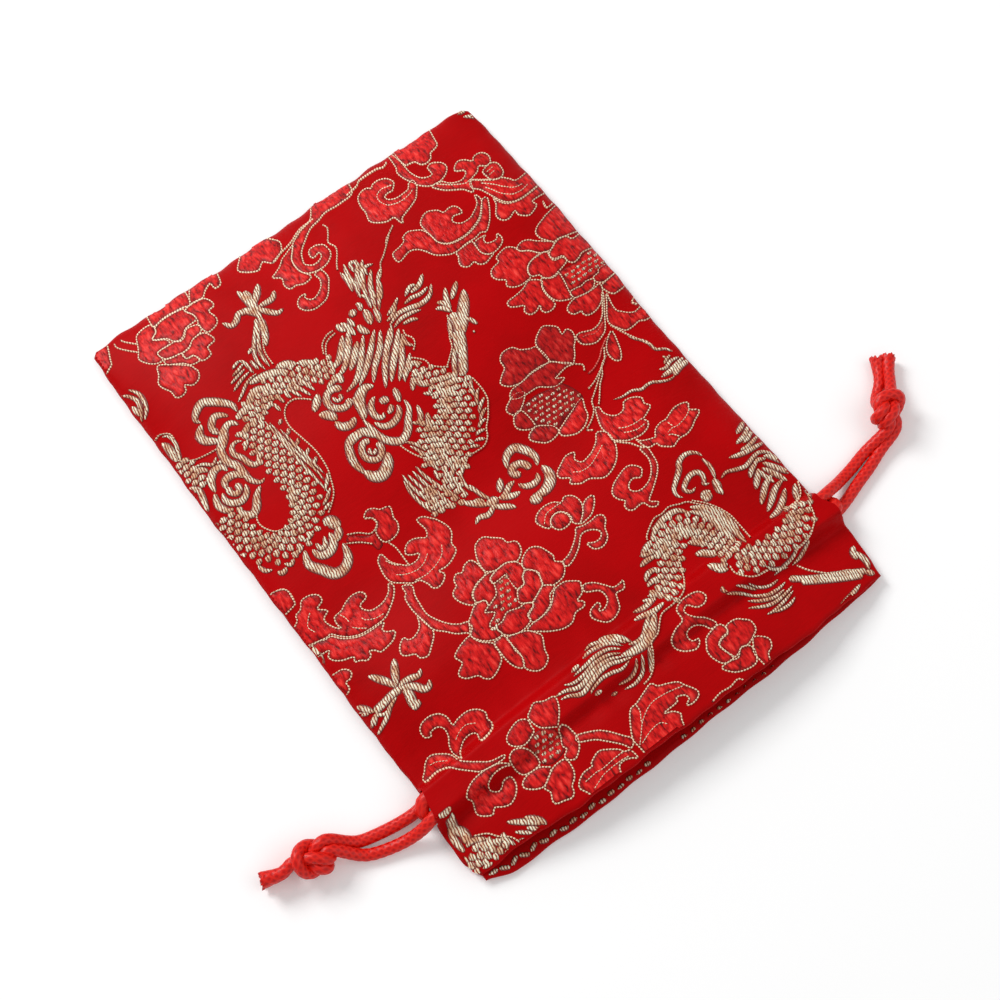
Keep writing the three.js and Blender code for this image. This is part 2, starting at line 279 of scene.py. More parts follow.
def braided_tube(name, line, flare=0.0, width=CORD_MM, height=CORD_MM):
    """A plaited tube along a line in mm. flare is how much wider the last few millimetres open."""
    tangents, sideways, upright = tube_frames(line)
    reach = lengths_along(line)[:, None]
    angle = np.linspace(0, 2 * np.pi, CORD_SIDES, endpoint=False)[None, :]
    turn = 2 * np.pi * reach / BRAID_PITCH_MM
    ridges = np.maximum(np.cos(BRAID_RIDGES * angle + turn), np.cos(BRAID_RIDGES * angle - turn))
    swell = 1 - BRAID_DEPTH + BRAID_DEPTH * ridges
    left = np.clip(1 - (reach[-1] - reach) / FLARE_REACH_MM, 0, 1)
    swell = swell * (1 + flare * left**1.5)
    swell = swell + flare * left**3 * random.uniform(-SPLAY, SPLAY, angle.shape)
    across = (np.cos(angle) * swell * width / 2)[:, :, None] * sideways[:, None, :]
    across = across + (np.sin(angle) * swell * height / 2)[:, :, None] * upright[:, None, :]
    frayed = flare * left**4 * random.uniform(-RAGGED_MM, RAGGED_MM, angle.shape)
    rings = line[:, None, :] + across + frayed[:, :, None] * tangents[:, None, :]
    caps = np.stack([line[0], line[-1] - flare * tangents[-1]])
    points = np.concatenate([rings.reshape(-1, 3), caps])
    row, column = np.meshgrid(np.arange(len(line) - 1), np.arange(CORD_SIDES), indexing="ij")
    here = row * CORD_SIDES + column
    beside = row * CORD_SIDES + (column + 1) % CORD_SIDES
    walls = np.stack([here, here + CORD_SIDES, beside + CORD_SIDES, beside], axis=-1).reshape(-1, 4)
    first_cap, last_cap = len(points) - 2, len(points) - 1
    last_ring = (len(line) - 1) * CORD_SIDES
    ends = []
    for i in range(CORD_SIDES):
        after = (i + 1) % CORD_SIDES
        ends.append((first_cap, i, after))
        ends.append((last_cap, last_ring + after, last_ring + i))
    # The relief value is low in the grooves and high on the strands; the finish turns it into painted shade
    # in the grooves.
    relief = np.concatenate([(ridges.ravel() + 0.3) / 1.3, [0, 0]])
    faces = [tuple(face) for face in walls] + ends
    return make_piece(name, points, faces, cord_satin, {"braid": np.clip(relief, 0, 1)})


# %% [markdown]
# Tying the knot
#
# An overhand knot in a doubled cord is hard to draw by hand, so it is tied. The two cords start as a
# loose knot, written as three short polynomials that are known to make a trefoil. Then many small steps
# pull the four ends apart, keep every cord's length, smooth its bends and push cords out of each other
# where they touch. The cords jam against themselves just as real ones do, and the loop stops before the
# knot is fully tight.

# %% Tie two cords in an overhand knot
PRESSED_MM = 2.45
KNOT_POINTS = 56
KNOT_SIZE_MM = 1.9
KNOT_RISE = 0.3
KNOT_SPAN = 2.15
KNOT_LEAN = math.radians(50)
PULL_MM = 0.1
PULL_STEPS = 520
FIT_ROUNDS = 4
EASE_SHARE = 0.12
HOLD_SHARE = 0.5
NEIGHBOURS_REACH = 1.3


def loose_knot():
    """Two cords side by side in an open knot along X, as an array of 2 lines."""
    t = np.linspace(-KNOT_SPAN, KNOT_SPAN, 200)
    trefoil = np.stack([t**3 - 3 * t, t**4 - 4 * t**2, (t**5 - 10 * t) * KNOT_RISE], axis=1)
    middle = trefoil * KNOT_SIZE_MM
    run = np.gradient(middle, axis=0)
    flat = np.stack([-run[:, 1], run[:, 0], 0 * t], axis=1)
    flat /= np.linalg.norm(flat, axis=1)[:, None]
    offset = (flat * math.cos(KNOT_LEAN) + np.array([0, 0, math.sin(KNOT_LEAN)])) * PRESSED_MM / 2
    lines = [middle + offset, middle - offset]
    size = np.mean([lengths_along(line)[-1] for line in lines]) / (KNOT_POINTS - 1)
    cords = [even_steps(line, lengths_along(line)[-1] / (KNOT_POINTS - 1)) for line in lines]
    print(f"loose knot: {KNOT_POINTS} points a cord, {size:.2f} mm apart")
    return np.stack(cords), offset[0], offset[-1]


def tied_knot():
    cords, first_offset, last_offset = loose_knot()
    spacing = np.linalg.norm(np.diff(cords, axis=1), axis=2).mean(axis=1)[:, None, None]
    order = np.arange(2 * KNOT_POINTS)
    same = (order[:, None] // KNOT_POINTS) == (order[None, :] // KNOT_POINTS)
    reach = math.ceil(NEIGHBOURS_REACH * PRESSED_MM / spacing.mean())
    neighbours = np.abs(order[:, None] - order[None, :]) <= reach
    may_touch = ~(same & neighbours)
    signs = np.array([1, -1])[:, None]
    for _ in range(PULL_STEPS):
        cords[:, :3, 0] -= PULL_MM
        cords[:, -3:, 0] += PULL_MM
        middles = (cords[:, :-2] + cords[:, 2:]) / 2
        cords[:, 1:-1] += EASE_SHARE * (middles - cords[:, 1:-1])
        for _ in range(FIT_ROUNDS):
            cords[:, 0, 1:] += HOLD_SHARE * (signs * first_offset[1:] - cords[:, 0, 1:])
            cords[:, -1, 1:] += HOLD_SHARE * (signs * last_offset[1:] - cords[:, -1, 1:])
            for parity in (0, 1):
                i = np.arange(parity, KNOT_POINTS - 1, 2)
                link = cords[:, i + 1] - cords[:, i]
                size = np.linalg.norm(link, axis=2, keepdims=True)
                shift = link * 0.5 * (size - spacing) / size
                cords[:, i] += shift
                cords[:, i + 1] -= shift
            points = cords.reshape(-1, 3)
            apart = points[:, None] - points[None]
            distance = np.sqrt((apart**2).sum(axis=2)) + 1e-9
            depth = np.where(may_touch & (distance < PRESSED_MM), PRESSED_MM - distance, 0)
            push = (apart * (depth / distance)[:, :, None]).sum(axis=1) * 0.5
            points += push / np.maximum(1, (depth > 0).sum(axis=1) * 0.5)[:, None]
            cords = points.reshape(2, KNOT_POINTS, 3)
    return cords


tight_cords = tied_knot()
lump = tight_cords[np.abs(tight_cords[:, :, 1:]).max(axis=2) > PRESSED_MM]
print("knot tied, it spreads over", np.round(np.ptp(lump, axis=0), 1), "mm")

# %% [markdown]
# The free ends
#
# The routes below are listed. Each strand leaves its slit, falls to the table within a few
# diameters and lies in a slow curve up to the knot. The knot is turned and set down on the table where it
# belongs, and two short tails come out of its other side, cut off and a little frayed.

# %% Routes of the free ends
LEFT_END = {
    "strands": (
        [(-56.0, 57.2, 5.85), (-58.0, 56.9, 5.3), (-60.8, 56.4, 3.5), (-64.5, 55.6, 1.8),
         (-68.5, 54.8, 1.45), (-72.2, 53.9, 1.5), (-75.6, 52.7, 2.0)],
        [(-56.0, 61.3, 1.85), (-58.5, 60.9, 1.6), (-62.0, 60.0, 1.45), (-65.6, 58.8, 1.45),
         (-71.3, 57.2, 1.45), (-75.4, 55.7, 1.8), (-77.6, 54.6, 2.4)],
    ),
    "knot": {"middle": (-82.4, 49.4), "heading": -131, "roll": 235},
    "tails": (
        [(-86.6, 43.0, 2.2), (-88.4, 40.7, 1.6), (-90.4, 37.9, 2.0)],
        [(-88.0, 44.6, 3.4), (-90.1, 41.8, 2.6), (-92.4, 39.2, 2.2)],
    ),
}
RIGHT_END = {
    "strands": (
        [(56.0, 61.4, 5.85), (57.9, 61.9, 5.3), (60.8, 61.9, 3.6), (64.5, 61.2, 1.9),
         (68.8, 60.0, 1.45), (72.9, 58.2, 1.5), (76.2, 56.2, 2.0)],
        [(56.0, 57.1, 1.85), (58.6, 57.6, 1.6), (63.2, 57.2, 1.45), (68.4, 56.2, 1.45),
         (72.8, 54.8, 1.6), (75.6, 53.8, 2.1)],
    ),
    "knot": {"middle": (82.4, 52.5), "heading": -19, "roll": 180},
    "tails": (
        [(88.5, 51.0, 1.9), (90.6, 50.2, 1.7), (93.4, 49.3, 2.0)],
        [(88.4, 51.6, 4.9), (90.6, 50.7, 4.7), (93.0, 49.9, 4.6)],
    ),
}

# %% [markdown]
# Each cord's route is now the strand, the part inside the knot, and the tail, in one line. The cords of
# the knot are handed to the strands and tails that lie nearest to them, so that nothing crosses where it
# shouldn't.

# %% Lay the free ends
KNOT_HALF_MM = 5.6
KNOT_SQUEEZE = 0.87
INSIDE_SLIT_MM = 2.5
EASE_ROUNDS = 30
TIP_FLARE = 0.32
CLEAR_OF_TABLE_MM = 0.02


def placed_knot(middle, heading, roll):
    """The knot, squeezed a last time, rolled about its own axis, turned on the table and set down on it."""
    turn = Matrix.Rotation(math.radians(heading), 3, "Z") @ Matrix.Rotation(math.radians(roll), 3, "X")
    local = tight_cords * KNOT_SQUEEZE
    inside = np.abs(local[:, :, 0]) < KNOT_HALF_MM
    centre = local[inside]
    local = local - (centre.min(axis=0) + centre.max(axis=0)) / 2 * np.array([0, 1, 1])
    world = local @ np.array(turn).T
    low = world[inside][:, 2].min()
    world += np.array([*middle, CORD_MM / 2 + CLEAR_OF_TABLE_MM - low])
    parts = []
    for line, x in zip(world, local[:, :, 0]):
        first = np.argmax(x > -KNOT_HALF_MM)
        last = len(x) - np.argmax(x[::-1] < KNOT_HALF_MM)
        parts.append(line[first:last])
    return parts


def nearest_pairs(ends, starts):
    """True if the first end belongs to the first start, False if they are to be swapped."""
    ends, starts = np.asarray(ends), np.asarray(starts)
    straight = np.linalg.norm(ends - starts, axis=1).sum()
    return straight <= np.linalg.norm(ends - starts[::-1], axis=1).sum()


def free_ends(end):
    strands, tails = end["strands"], end["tails"]
    knotted = placed_knot(**end["knot"])
    if not nearest_pairs([s[-1] for s in strands], [k[0] for k in knotted]):
        knotted = knotted[::-1]
    if not nearest_pairs([k[-1] for k in knotted], [t[0] for t in tails]):
        tails = tails[::-1]
    lines = []
    for strand, inside, tail in zip(strands, knotted, tails):
        slit = np.array(strand[0]) - (math.copysign(INSIDE_SLIT_MM, strand[0][0]), 0, 0)
        line = smooth_line(np.concatenate([[slit], strand[:-1], inside[1:-1:2], tail]), CORD_STEP_MM)
        for _ in range(EASE_ROUNDS):
            line[1:-1] = 0.5 * line[1:-1] + 0.25 * (line[:-2] + line[2:])
        line[:, 2] = np.maximum(line[:, 2], CORD_MM / 2 + CLEAR_OF_TABLE_MM)
        lines.append(even_steps(line, CORD_STEP_MM))
    return lines


free_cords = []
for side_name, end in (("left", LEFT_END), ("right", RIGHT_END)):
    names = (f"{side_name}_front_cord_end", f"{side_name}_back_cord_end")
    for name, line in zip(names, free_ends(end)):
        tube = braided_tube(name, line, flare=TIP_FLARE)
        free_cords.append((tube, line, side_name))
        print(f"{name}: {lengths_along(line)[-1]:.1f} mm from slit to tip, lowest {line[:, 2].min():.2f}")

# %% [markdown]
# Each of these four ends replaces the plain solids of the measured model, which are hidden. The first of
# each pair also stands for the knot, which both cords make together.

REPLACED = {
    "left_front_cord_end": ("left_front_strand", "left_first_tail", "left_knot"),
    "left_back_cord_end": ("left_back_strand", "left_second_tail"),
    "right_front_cord_end": ("right_front_strand", "right_first_tail", "right_knot"),
    "right_back_cord_end": ("right_back_strand", "right_second_tail"),
}
for tube, line, side_name in free_cords:
    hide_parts(*REPLACED[tube.name])

# %% [markdown]
# The shape of the cloth
#
# Each panel is one surface that can be written as a height above the table for every place (x, y).
# Writing the shape as a formula, and not sculpting it, has a great advantage here: the woven figures and
# the cloth can all ask the same function where the surface is, so they always lie on it.
#
# The pouch is lowest at its seams. It rises to a soft crown in the middle, is gathered a little where the
# channel is stitched, and falls away to the mouth.

# %% Sizes of the pouch
panel_low, panel_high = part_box("back_panel")
SIDE_MM = round(panel_high.x / MM, 2)
CLOSED_END_MM = round(panel_low.y / MM, 2)
BACK_MOUTH_MM = 80.2
CLOTH_MM = 0.5
UPPER_ROW_MM = 65.0
LOWER_ROW_MM = 53.5
CHANNEL_MM = (LOWER_ROW_MM + UPPER_ROW_MM) / 2
CHANNEL_HALF_MM = 1.85
TUNNEL_MM = (55.3, 63.2)
LANES_MM = (57.3, 61.2)
TABLE_GAP_MM = 0.4
print(f"panels {2 * SIDE_MM} mm wide, closed end at y {CLOSED_END_MM}")


def eased(stations, place):
    """A smooth value between (place, value) stations, level at each station."""
    places, values = (np.array(column, dtype=float) for column in zip(*stations))
    place = np.clip(place, places[0], places[-1])
    i = np.clip(np.searchsorted(places, place, side="right") - 1, 0, len(places) - 2)
    share = (place - places[i]) / (places[i + 1] - places[i])
    share = share * share * (3 - 2 * share)
    return values[i] + (values[i + 1] - values[i]) * share


# %% [markdown]
# The outline isn't a perfect rectangle. Seams pucker, the closed end bulges at one corner, and the
# front's mouth edge is a little shorter than the back's, so that the inside of the back hem shows.

# %% The pouch's edges
LEFT_EDGE = [(-79.5, 56.4), (-70, 57.0), (-45, 56.8), (-25, 56.3), (0, 55.3), (12, 55.0), (30, 55.1),
             (52, 55.1), (58, 54.9), (63, 56.4), (69, 56.0), (76, 55.1), (80, 54.4)]
RIGHT_EDGE = [(-79.5, 55.4), (-66, 55.8), (-20, 56.0), (20, 55.7), (50, 55.6), (58, 55.2), (67, 56.6),
              (75, 56.9), (80, 55.0)]
FRONT_MOUTH = [(-57, 78.2), (-46, 78.9), (-30, 79.7), (-10, 79.4), (14, 79.1), (30, 78.9), (38, 77.8),
               (47, 77.0), (57, 76.8)]
BACK_MOUTH = [(-57, 77.9), (-48, 78.9), (-30, 80.0), (0, 80.4), (27, 80.9), (40, 80.3), (49, 80.4),
              (57, 77.6)]
CORNER_MM = 1.3
SEAM_RIPPLE_MM = 0.07
END_RIPPLE_MM = 0.2
MOUTH_RIPPLE_MM = 0.12


def ripple(place, size, *waves):
    """A small sum of sine waves, each given as (length in mm, phase)."""
    return size * sum(np.sin(2 * np.pi * place / length + phase) for length, phase in waves)


def edge_x(y, sign):
    """Distance of the side seam from the middle line, with the rounded corner of the closed end."""
    base = eased(LEFT_EDGE if sign < 0 else RIGHT_EDGE, y)
    wavy = ripple(y, SEAM_RIPPLE_MM, (31.0, sign), (11.7, 2.0 * sign), (6.1, 0.5))
    short = np.clip(CORNER_MM - (y - CLOSED_END_MM), 0, CORNER_MM)
    return base + wavy - (CORNER_MM - np.sqrt(CORNER_MM**2 - short**2))


def seam_x(x, y):
    """Distance from the middle line of the side seam that lies on the same side as x."""
    return np.where(x < 0, edge_x(y, -1), edge_x(y, 1))


def closed_end_y(x):
    return CLOSED_END_MM + ripple(x, END_RIPPLE_MM, (61.0, 0.6), (19.0, 2.0), (8.3, 0.0))


def front_mouth_y(x):
    return eased(FRONT_MOUTH, x) + ripple(x, MOUTH_RIPPLE_MM, (17.0, 1.0), (7.1, 0.0))


def back_mouth_y(x):
    return eased(BACK_MOUTH, x) + ripple(x, MOUTH_RIPPLE_MM, (29.0, 0.0), (11.0, 1.0))


# %% [markdown]
# Heights
#
# The same stations as in the measured model, with rounder changes between them. Soft waves are added: one
# broad swell across the body, a few dents where the cloth is slack, and small puckers that fan out from the
# two rows of stitches.

# %% Height of the front and back surfaces
FRONT_CROWN = [(-79.5, 9.6), (-50, 10.2), (30, 10.2), (44, 10.4), (53.5, 10.0), (56.3, 11.9), (62.2, 11.9),
               (65, 9.7), (69, 10.1), (80, 9.2)]
FRONT_SEAM = [(-79.5, 2.5), (46, 2.7), (53.5, 3.0), (56.3, 7.3), (62.2, 7.3), (65, 3.0), (70, 3.1),
              (80, 2.8)]
ROW_PULL = [(49, 0.0), (53.5, 0.7), (56.5, 0.0), (62.0, 0.0), (65, 0.7), (69, 0.0)]
HEM_LAYERS = [(51.5, CLOTH_MM), (52.5, 1.0), (54.6, 1.3), (56.5, 3.5), (62.0, 3.5), (63.8, 1.3), (65, 1.0)]
SEAM_LAYERS = [(0, 0.9), (6, 0.9), (6.6, CLOTH_MM)]
END_RISE_MM = 34.0
CURL_MM = 0.75
CURL_REACH_MM = 11.0
PUCKER_MM = 0.16
PUCKER_FADE_MM = 3.2
# Each wave is (x, y, height, reach across, reach along, turn in degrees), in mm.
WAVES = [
    (0, -26, 1.5, 60, 15, 6),
    (2, 9, -2.0, 62, 13, 6),
    (-30, 34, 0.9, 26, 12, -8),
    (34, 36, 0.8, 22, 13, 12),
    (-44, -52, 0.7, 14, 20, 0),
    (40, -58, 0.8, 16, 16, 20),
    (-6, -66, -0.6, 18, 9, 0),
    (-48, 0, -0.5, 9, 12, 0),
    (48, -8, -0.5, 9, 10, 0),
    (16, 50, -0.5, 12, 6, 10),
    (-20, 50, -0.5, 12, 6, -6),
]


def waves(x, y):
    total = 0
    for wave_x, wave_y, height, across, along, turn in WAVES:
        a = math.radians(turn)
        u = ((x - wave_x) * math.cos(a) + (y - wave_y) * math.sin(a)) / across
        v = ((y - wave_y) * math.cos(a) - (x - wave_x) * math.sin(a)) / along
        total = total + height * np.exp(-(u**2) - v**2)
    return total


def puckers(x, y):
    """Small folds that start at a row of stitches and fade within a few millimetres."""
    total = 0
    for row, length, phase in ((UPPER_ROW_MM, 6.3, 0.0), (LOWER_ROW_MM, 7.9, 1.7)):
        distance = np.abs(y - row)
        fold = np.sin(2 * np.pi * x / length + phase + 0.8 * np.sin(x / 5.3))
        total = total + PUCKER_MM * (fold * np.exp(-distance / PUCKER_FADE_MM))
    return total


def side_share(x, y):
    """0 on the middle line and 1 on the side seam."""
    return np.clip(np.abs(x) / seam_x(x, y), 0, 1)


def front_height(x, y):
    """Height of the front panel's outer face."""
    share = side_share(x, y)
    puffed = (1 - share**2.6) ** 0.62
    gathered = (1 - share**2.6) ** 1.15
    in_hem = eased([(36, 0.0), (53.5, 1.0)], y)
    arch = puffed + (gathered - puffed) * in_hem
    near_end = np.clip(1 - (y - closed_end_y(x)) / END_RISE_MM, 0, 1)
    arch = arch * (1 - near_end**2.4) ** 0.62
    low = eased(FRONT_SEAM, y)
    soft = waves(x, y) + puckers(x, y)
    return low + (eased(FRONT_CROWN, y) - low) * arch + soft * np.minimum(1, 2.2 * arch)


def back_height(x, y):
    """Height of the back panel's outer face, which rests on the table."""
    near_side = np.clip(1 - (seam_x(x, y) - np.abs(x)) / CURL_REACH_MM, 0, 1)
    near_end = np.clip(1 - (y - closed_end_y(x)) / CURL_REACH_MM, 0, 1)
    away = eased([(51, 1.0), (56, 0.0), (62.5, 0.0), (67, 1.0)], y)
    curl = CURL_MM * away * np.minimum(1, near_side**2 + near_end**2)
    return TABLE_GAP_MM + np.maximum(curl, eased(ROW_PULL, y))


def thickness_between_faces(x, y):
    """One layer in the body, more in the hem, and the whole tunnel at the channel."""
    return np.maximum(eased(HEM_LAYERS, y), eased(SEAM_LAYERS, seam_x(x, y) - np.abs(x)))


for place in (-70, -20, 9, 59, 65, 78):
    print(f"y {place}: front {float(front_height(np.array(4.0), np.array(float(place)))):.1f} mm high")

# %% [markdown]
# From a flat drawing to the cloth
#
# The figures were drawn as they appear in the photograph, on the flat plane of the seams. A point of the
# real cloth is higher than that plane, so it appears a little further out. The function below slides each
# drawn point along its line of sight until it meets the cloth. From any other side it is simply a place
# on the surface. No picture shows the back panel, so it carries the same figures, turned end for end, and
# the table presses them flatter.

# %% Put drawn points on the cloth
SEAM_PLANE_MM = 2.2
PRESSED_SHARE = 0.66
SLOPE_STEP_MM = 0.05
STEEPEST = 1.6
EYE = np.array(EYE_MM)


def under_the_line_of_sight(drawn):
    """Places (x, y) on the front surface that the camera sees at the drawn places."""
    drawn = np.asarray(drawn, dtype=float)
    place = drawn.copy()
    for _ in range(4):
        height = front_height(place[:, 0], place[:, 1])
        share = (EYE[2] - height) / (EYE[2] - SEAM_PLANE_MM)
        place = EYE[:2] + (drawn - EYE[:2]) * share[:, None]
    return place


def surface_points(height_of, place, lift, facing):
    """Points on a surface, moved out of it by lift along its normal."""
    x, y = place[:, 0], place[:, 1]
    step = SLOPE_STEP_MM
    base = height_of(x, y)
    slope_x = (height_of(x + step, y) - height_of(x - step, y)) / (2 * step)
    slope_y = (height_of(x, y + step) - height_of(x, y - step)) / (2 * step)
    normal = np.stack([-slope_x, -slope_y, np.ones_like(x)], axis=1)
    normal[:, :2] = np.clip(normal[:, :2], -STEEPEST, STEEPEST)
    normal /= np.linalg.norm(normal, axis=1)[:, None]
    return np.stack([x, y, base], axis=1) + normal * (facing * np.asarray(lift))[:, None]


def on_front(drawn, lift):
    return surface_points(front_height, under_the_line_of_sight(drawn), lift, 1)


def end_for_end(drawn):
    return np.asarray(drawn) * np.array([1.0, -1.0])


def on_back(drawn, lift):
    return surface_points(back_height, end_for_end(drawn), PRESSED_SHARE * np.asarray(lift), -1)


# %% [markdown]
# The satin ground
#
# The ground of the brocade is a deep red satin. Its threads are far finer than anything else on the
# pouch, so they are bump only: a fine rib along the cloth, crossed by uneven yarns. The colour drifts
# slightly from place to place, because the floats catch the light differently.

# %% Finish of the ground
ground, ground_shader = new_material("brocade_ground", Roughness=0.5)
ground_shader.inputs["Specular IOR Level"].default_value = 0.05
ground_place = add_node(ground, "TexCoord")
yarn_stretch = add_node(ground, "Mapping")
yarn_stretch.inputs["Scale"].default_value = (380.0, 5200.0, 380.0)
yarns = add_node(ground, "TexNoise", Scale=1.0, Detail=3.0)
drift = add_node(ground, "TexNoise", Scale=55.0, Detail=2.0)
ground_mix = add_node(ground, "Math", operation="MULTIPLY_ADD")
ground_mix.inputs[1].default_value = 0.55
ground_colours = colour_ramp(
    ground, (0.25, srgb(134, 0, 0)), (0.6, srgb(164, 0, 2)), (0.95, srgb(180, 0, 4))
)
ground_ribs = add_node(ground, "TexWave", Scale=1250.0, Distortion=0.6, bands_direction="X")
ground_bump = add_node(ground, "Bump", Strength=0.16, Distance=0.0001)
rib_bump = add_node(ground, "Bump", Strength=0.1, Distance=0.0001)
join(
    ground,
    (ground_place.outputs["Object"], yarn_stretch.inputs["Vector"]),
    (yarn_stretch.outputs["Vector"], yarns.inputs["Vector"]),
    (ground_place.outputs["Object"], drift.inputs["Vector"]),
    (ground_place.outputs["Object"], ground_ribs.inputs["Vector"]),
    (yarns.outputs["Fac"], ground_mix.inputs[0]),
    (drift.outputs["Fac"], ground_mix.inputs[2]),
    (ground_mix.outputs["Value"], ground_colours.inputs["Fac"]),
    (ground_colours.outputs["Color"], ground_shader.inputs["Base Color"]),
    (yarns.outputs["Fac"], ground_bump.inputs["Height"]),
    (ground_ribs.outputs["Fac"], rib_bump.inputs["Height"]),
    (ground_bump.outputs["Normal"], rib_bump.inputs["Normal"]),
    (rib_bump.outputs["Normal"], ground_shader.inputs["Normal"]),
)

# %% [markdown]
# Building a panel
#
# A panel is a closed skin: a fine grid for the outer face, the same grid for the inner face, and a
# rounded rim between them. The grid's rows are closer together at the stitches. The rim is left open at
# the two ends of the channel, where the cords come out.

# %% Build the two panels
GRID_MM = 0.95
FINE_ROWS_MM = (49.0, 70.0)
FINE_GRID_MM = 0.45
CLOSER_AT_SEAMS = 1.12
RIM_MM = 0.35


def row_places(start, end):
    """Shares from closed end (0) to mouth (1), closer together in the hem."""
    fine = [np.clip((place - start) / (end - start), 0, 1) for place in FINE_ROWS_MM]
    lengths = np.diff([0, *fine, 1]) * (end - start)
    steps = (GRID_MM, FINE_GRID_MM, GRID_MM)
    parts = [np.linspace(a, b, max(2, round(size / step)) + 1)[:-1]
             for a, b, size, step in zip([0, *fine], [*fine, 1], lengths, steps)]
    return np.concatenate([*parts, [1.0]])


def panel_grid(mouth_y):
    """A grid of places (x, y) that follows the pouch's edges, as two arrays of rows and columns."""
    across = np.linspace(-1, 1, round(2 * SIDE_MM / GRID_MM) + 1)
    across = np.sign(across) * (1 - (1 - np.abs(across)) ** CLOSER_AT_SEAMS)
    rows = row_places(CLOSED_END_MM, BACK_MOUTH_MM)
    y_middle = CLOSED_END_MM + rows * (BACK_MOUTH_MM - CLOSED_END_MM)
    x = np.where(across < 0, edge_x(y_middle, -1)[:, None], edge_x(y_middle, 1)[:, None]) * across[None, :]
    start, end = closed_end_y(x), mouth_y(x)
    return x, start + rows[:, None] * (end - start)


def build_panel(name, facing, height_of, mouth_y):
    x, y = panel_grid(mouth_y)
    outer = height_of(x, y)
    inner = outer - facing * thickness_between_faces(x, y)
    rows, columns = x.shape
    size = rows * columns
    grid = np.arange(size).reshape(rows, columns)
    quads = np.stack([grid[:-1, :-1], grid[:-1, 1:], grid[1:, 1:], grid[1:, :-1]], axis=-1).reshape(-1, 4)
    top, under = (quads, quads[:, ::-1] + size) if facing > 0 else (quads[:, ::-1], quads + size)
    border = np.concatenate([grid[0, :], grid[1:, -1], grid[-1, -2::-1], grid[-2:0:-1, 0]])
    bx, by = x.ravel()[border], y.ravel()[border]
    out_x = np.isin(border, grid[:, -1]) * 1.0 - np.isin(border, grid[:, 0])
    out_y = np.isin(border, grid[-1]) * 1.0 - np.isin(border, grid[0])
    middle = (outer.ravel()[border] + inner.ravel()[border]) / 2
    bulge = np.minimum(RIM_MM, np.abs(outer.ravel()[border] - middle))
    rim_points = np.stack([bx + out_x * bulge, by + out_y * bulge, middle], axis=1)
    rim = 2 * size + np.arange(len(border))
    strip = []
    for i in range(len(border)):
        after = (i + 1) % len(border)
        at_side = out_x[i] != 0 and out_x[after] != 0
        if at_side and TUNNEL_MM[0] < by[i] < TUNNEL_MM[1]:
            continue
        a, b = border[i], border[after]
        strip.append((a, rim[i], rim[after], b))
        strip.append((rim[i], a + size, b + size, rim[after]))
    strip = np.array(strip)
    if facing < 0:
        strip = strip[:, ::-1]
    faces = np.concatenate([top, under, strip])
    outer_points = np.stack([x.ravel(), y.ravel(), outer.ravel()], axis=1)
    inner_points = np.stack([x.ravel(), y.ravel(), inner.ravel()], axis=1)
    points = np.concatenate([outer_points, inner_points, rim_points])
    return make_piece(name, points, faces, ground)


front_cloth = build_panel("front_cloth", 1, front_height, front_mouth_y)
back_cloth = build_panel("back_cloth", -1, back_height, back_mouth_y)
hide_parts("front_panel")
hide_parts("back_panel")

# %% [markdown]
# The rest of each cord
#
# Between its two free ends a cord runs inside the channel. Where it turns from the front channel into the
# back one it shows for a moment as a bright loop beside the slit. Inside the channel the cloth presses it
# a little flatter.

# %% Lay the cords in the channel
HELD_STEP_MM = 0.8
PRESSED_HEIGHT_MM = 2.2
PRESSED_WIDTH_MM = 3.4
LOOP_REACH_MM = 3.2


def held_route(exit_side):
    """From the slit along the front channel, round the far slit and back along the back channel."""
    front_lane, back_lane = LANES_MM if exit_side < 0 else LANES_MM[::-1]
    x = np.linspace(exit_side * (SIDE_MM - 1), -exit_side * (SIDE_MM - 0.5), 60)
    lane = np.full_like(x, front_lane)
    front = np.stack([x, lane, front_height(x, lane) - CHANNEL_HALF_MM], axis=1)
    lane = np.full_like(x, back_lane)
    back = np.stack([x, lane, back_height(x, lane) + CHANNEL_HALF_MM], axis=1)[::-1]
    swing = np.linspace(0, np.pi, 9)[1:-1, None]
    swung = (1 - np.cos(swing)) / 2
    loop = front[-1] + (back[0] - front[-1]) * swung
    loop[:, 0:1] += -exit_side * LOOP_REACH_MM * np.sin(swing)
    return smooth_line(np.concatenate([front[::3], loop, back[::3]]), HELD_STEP_MM)


for side_name, exit_side in (("left", -1), ("right", 1)):
    line = held_route(exit_side)
    held = braided_tube(
        f"{side_name}_cord_in_channel", line, width=PRESSED_WIDTH_MM, height=PRESSED_HEIGHT_MM
    )
    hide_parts(f"{side_name}_drawstring_in_channel")
    print(f"{side_name} cord holds {lengths_along(line)[-1]:.0f} mm in the channel")

# %% [markdown]
# How the figures are woven
#
# Brocade has extra threads that float over the ground only where a figure needs them. Three kinds are
# seen here:
#
# - coral floats fill petals and leaves. They stand a little proud and crinkle, because nothing ties them
#   down.
# - a gold thread outlines every petal. It is tied at every few ground threads, so it looks like a row of
#   beads.
# - cream floats make the dragons and clouds. Fine tie lines run across them.
#
# A picture of the pattern could be painted on the cloth, but then it would be flat from every side. Here
# each float and thread is its own raised bit of mesh.

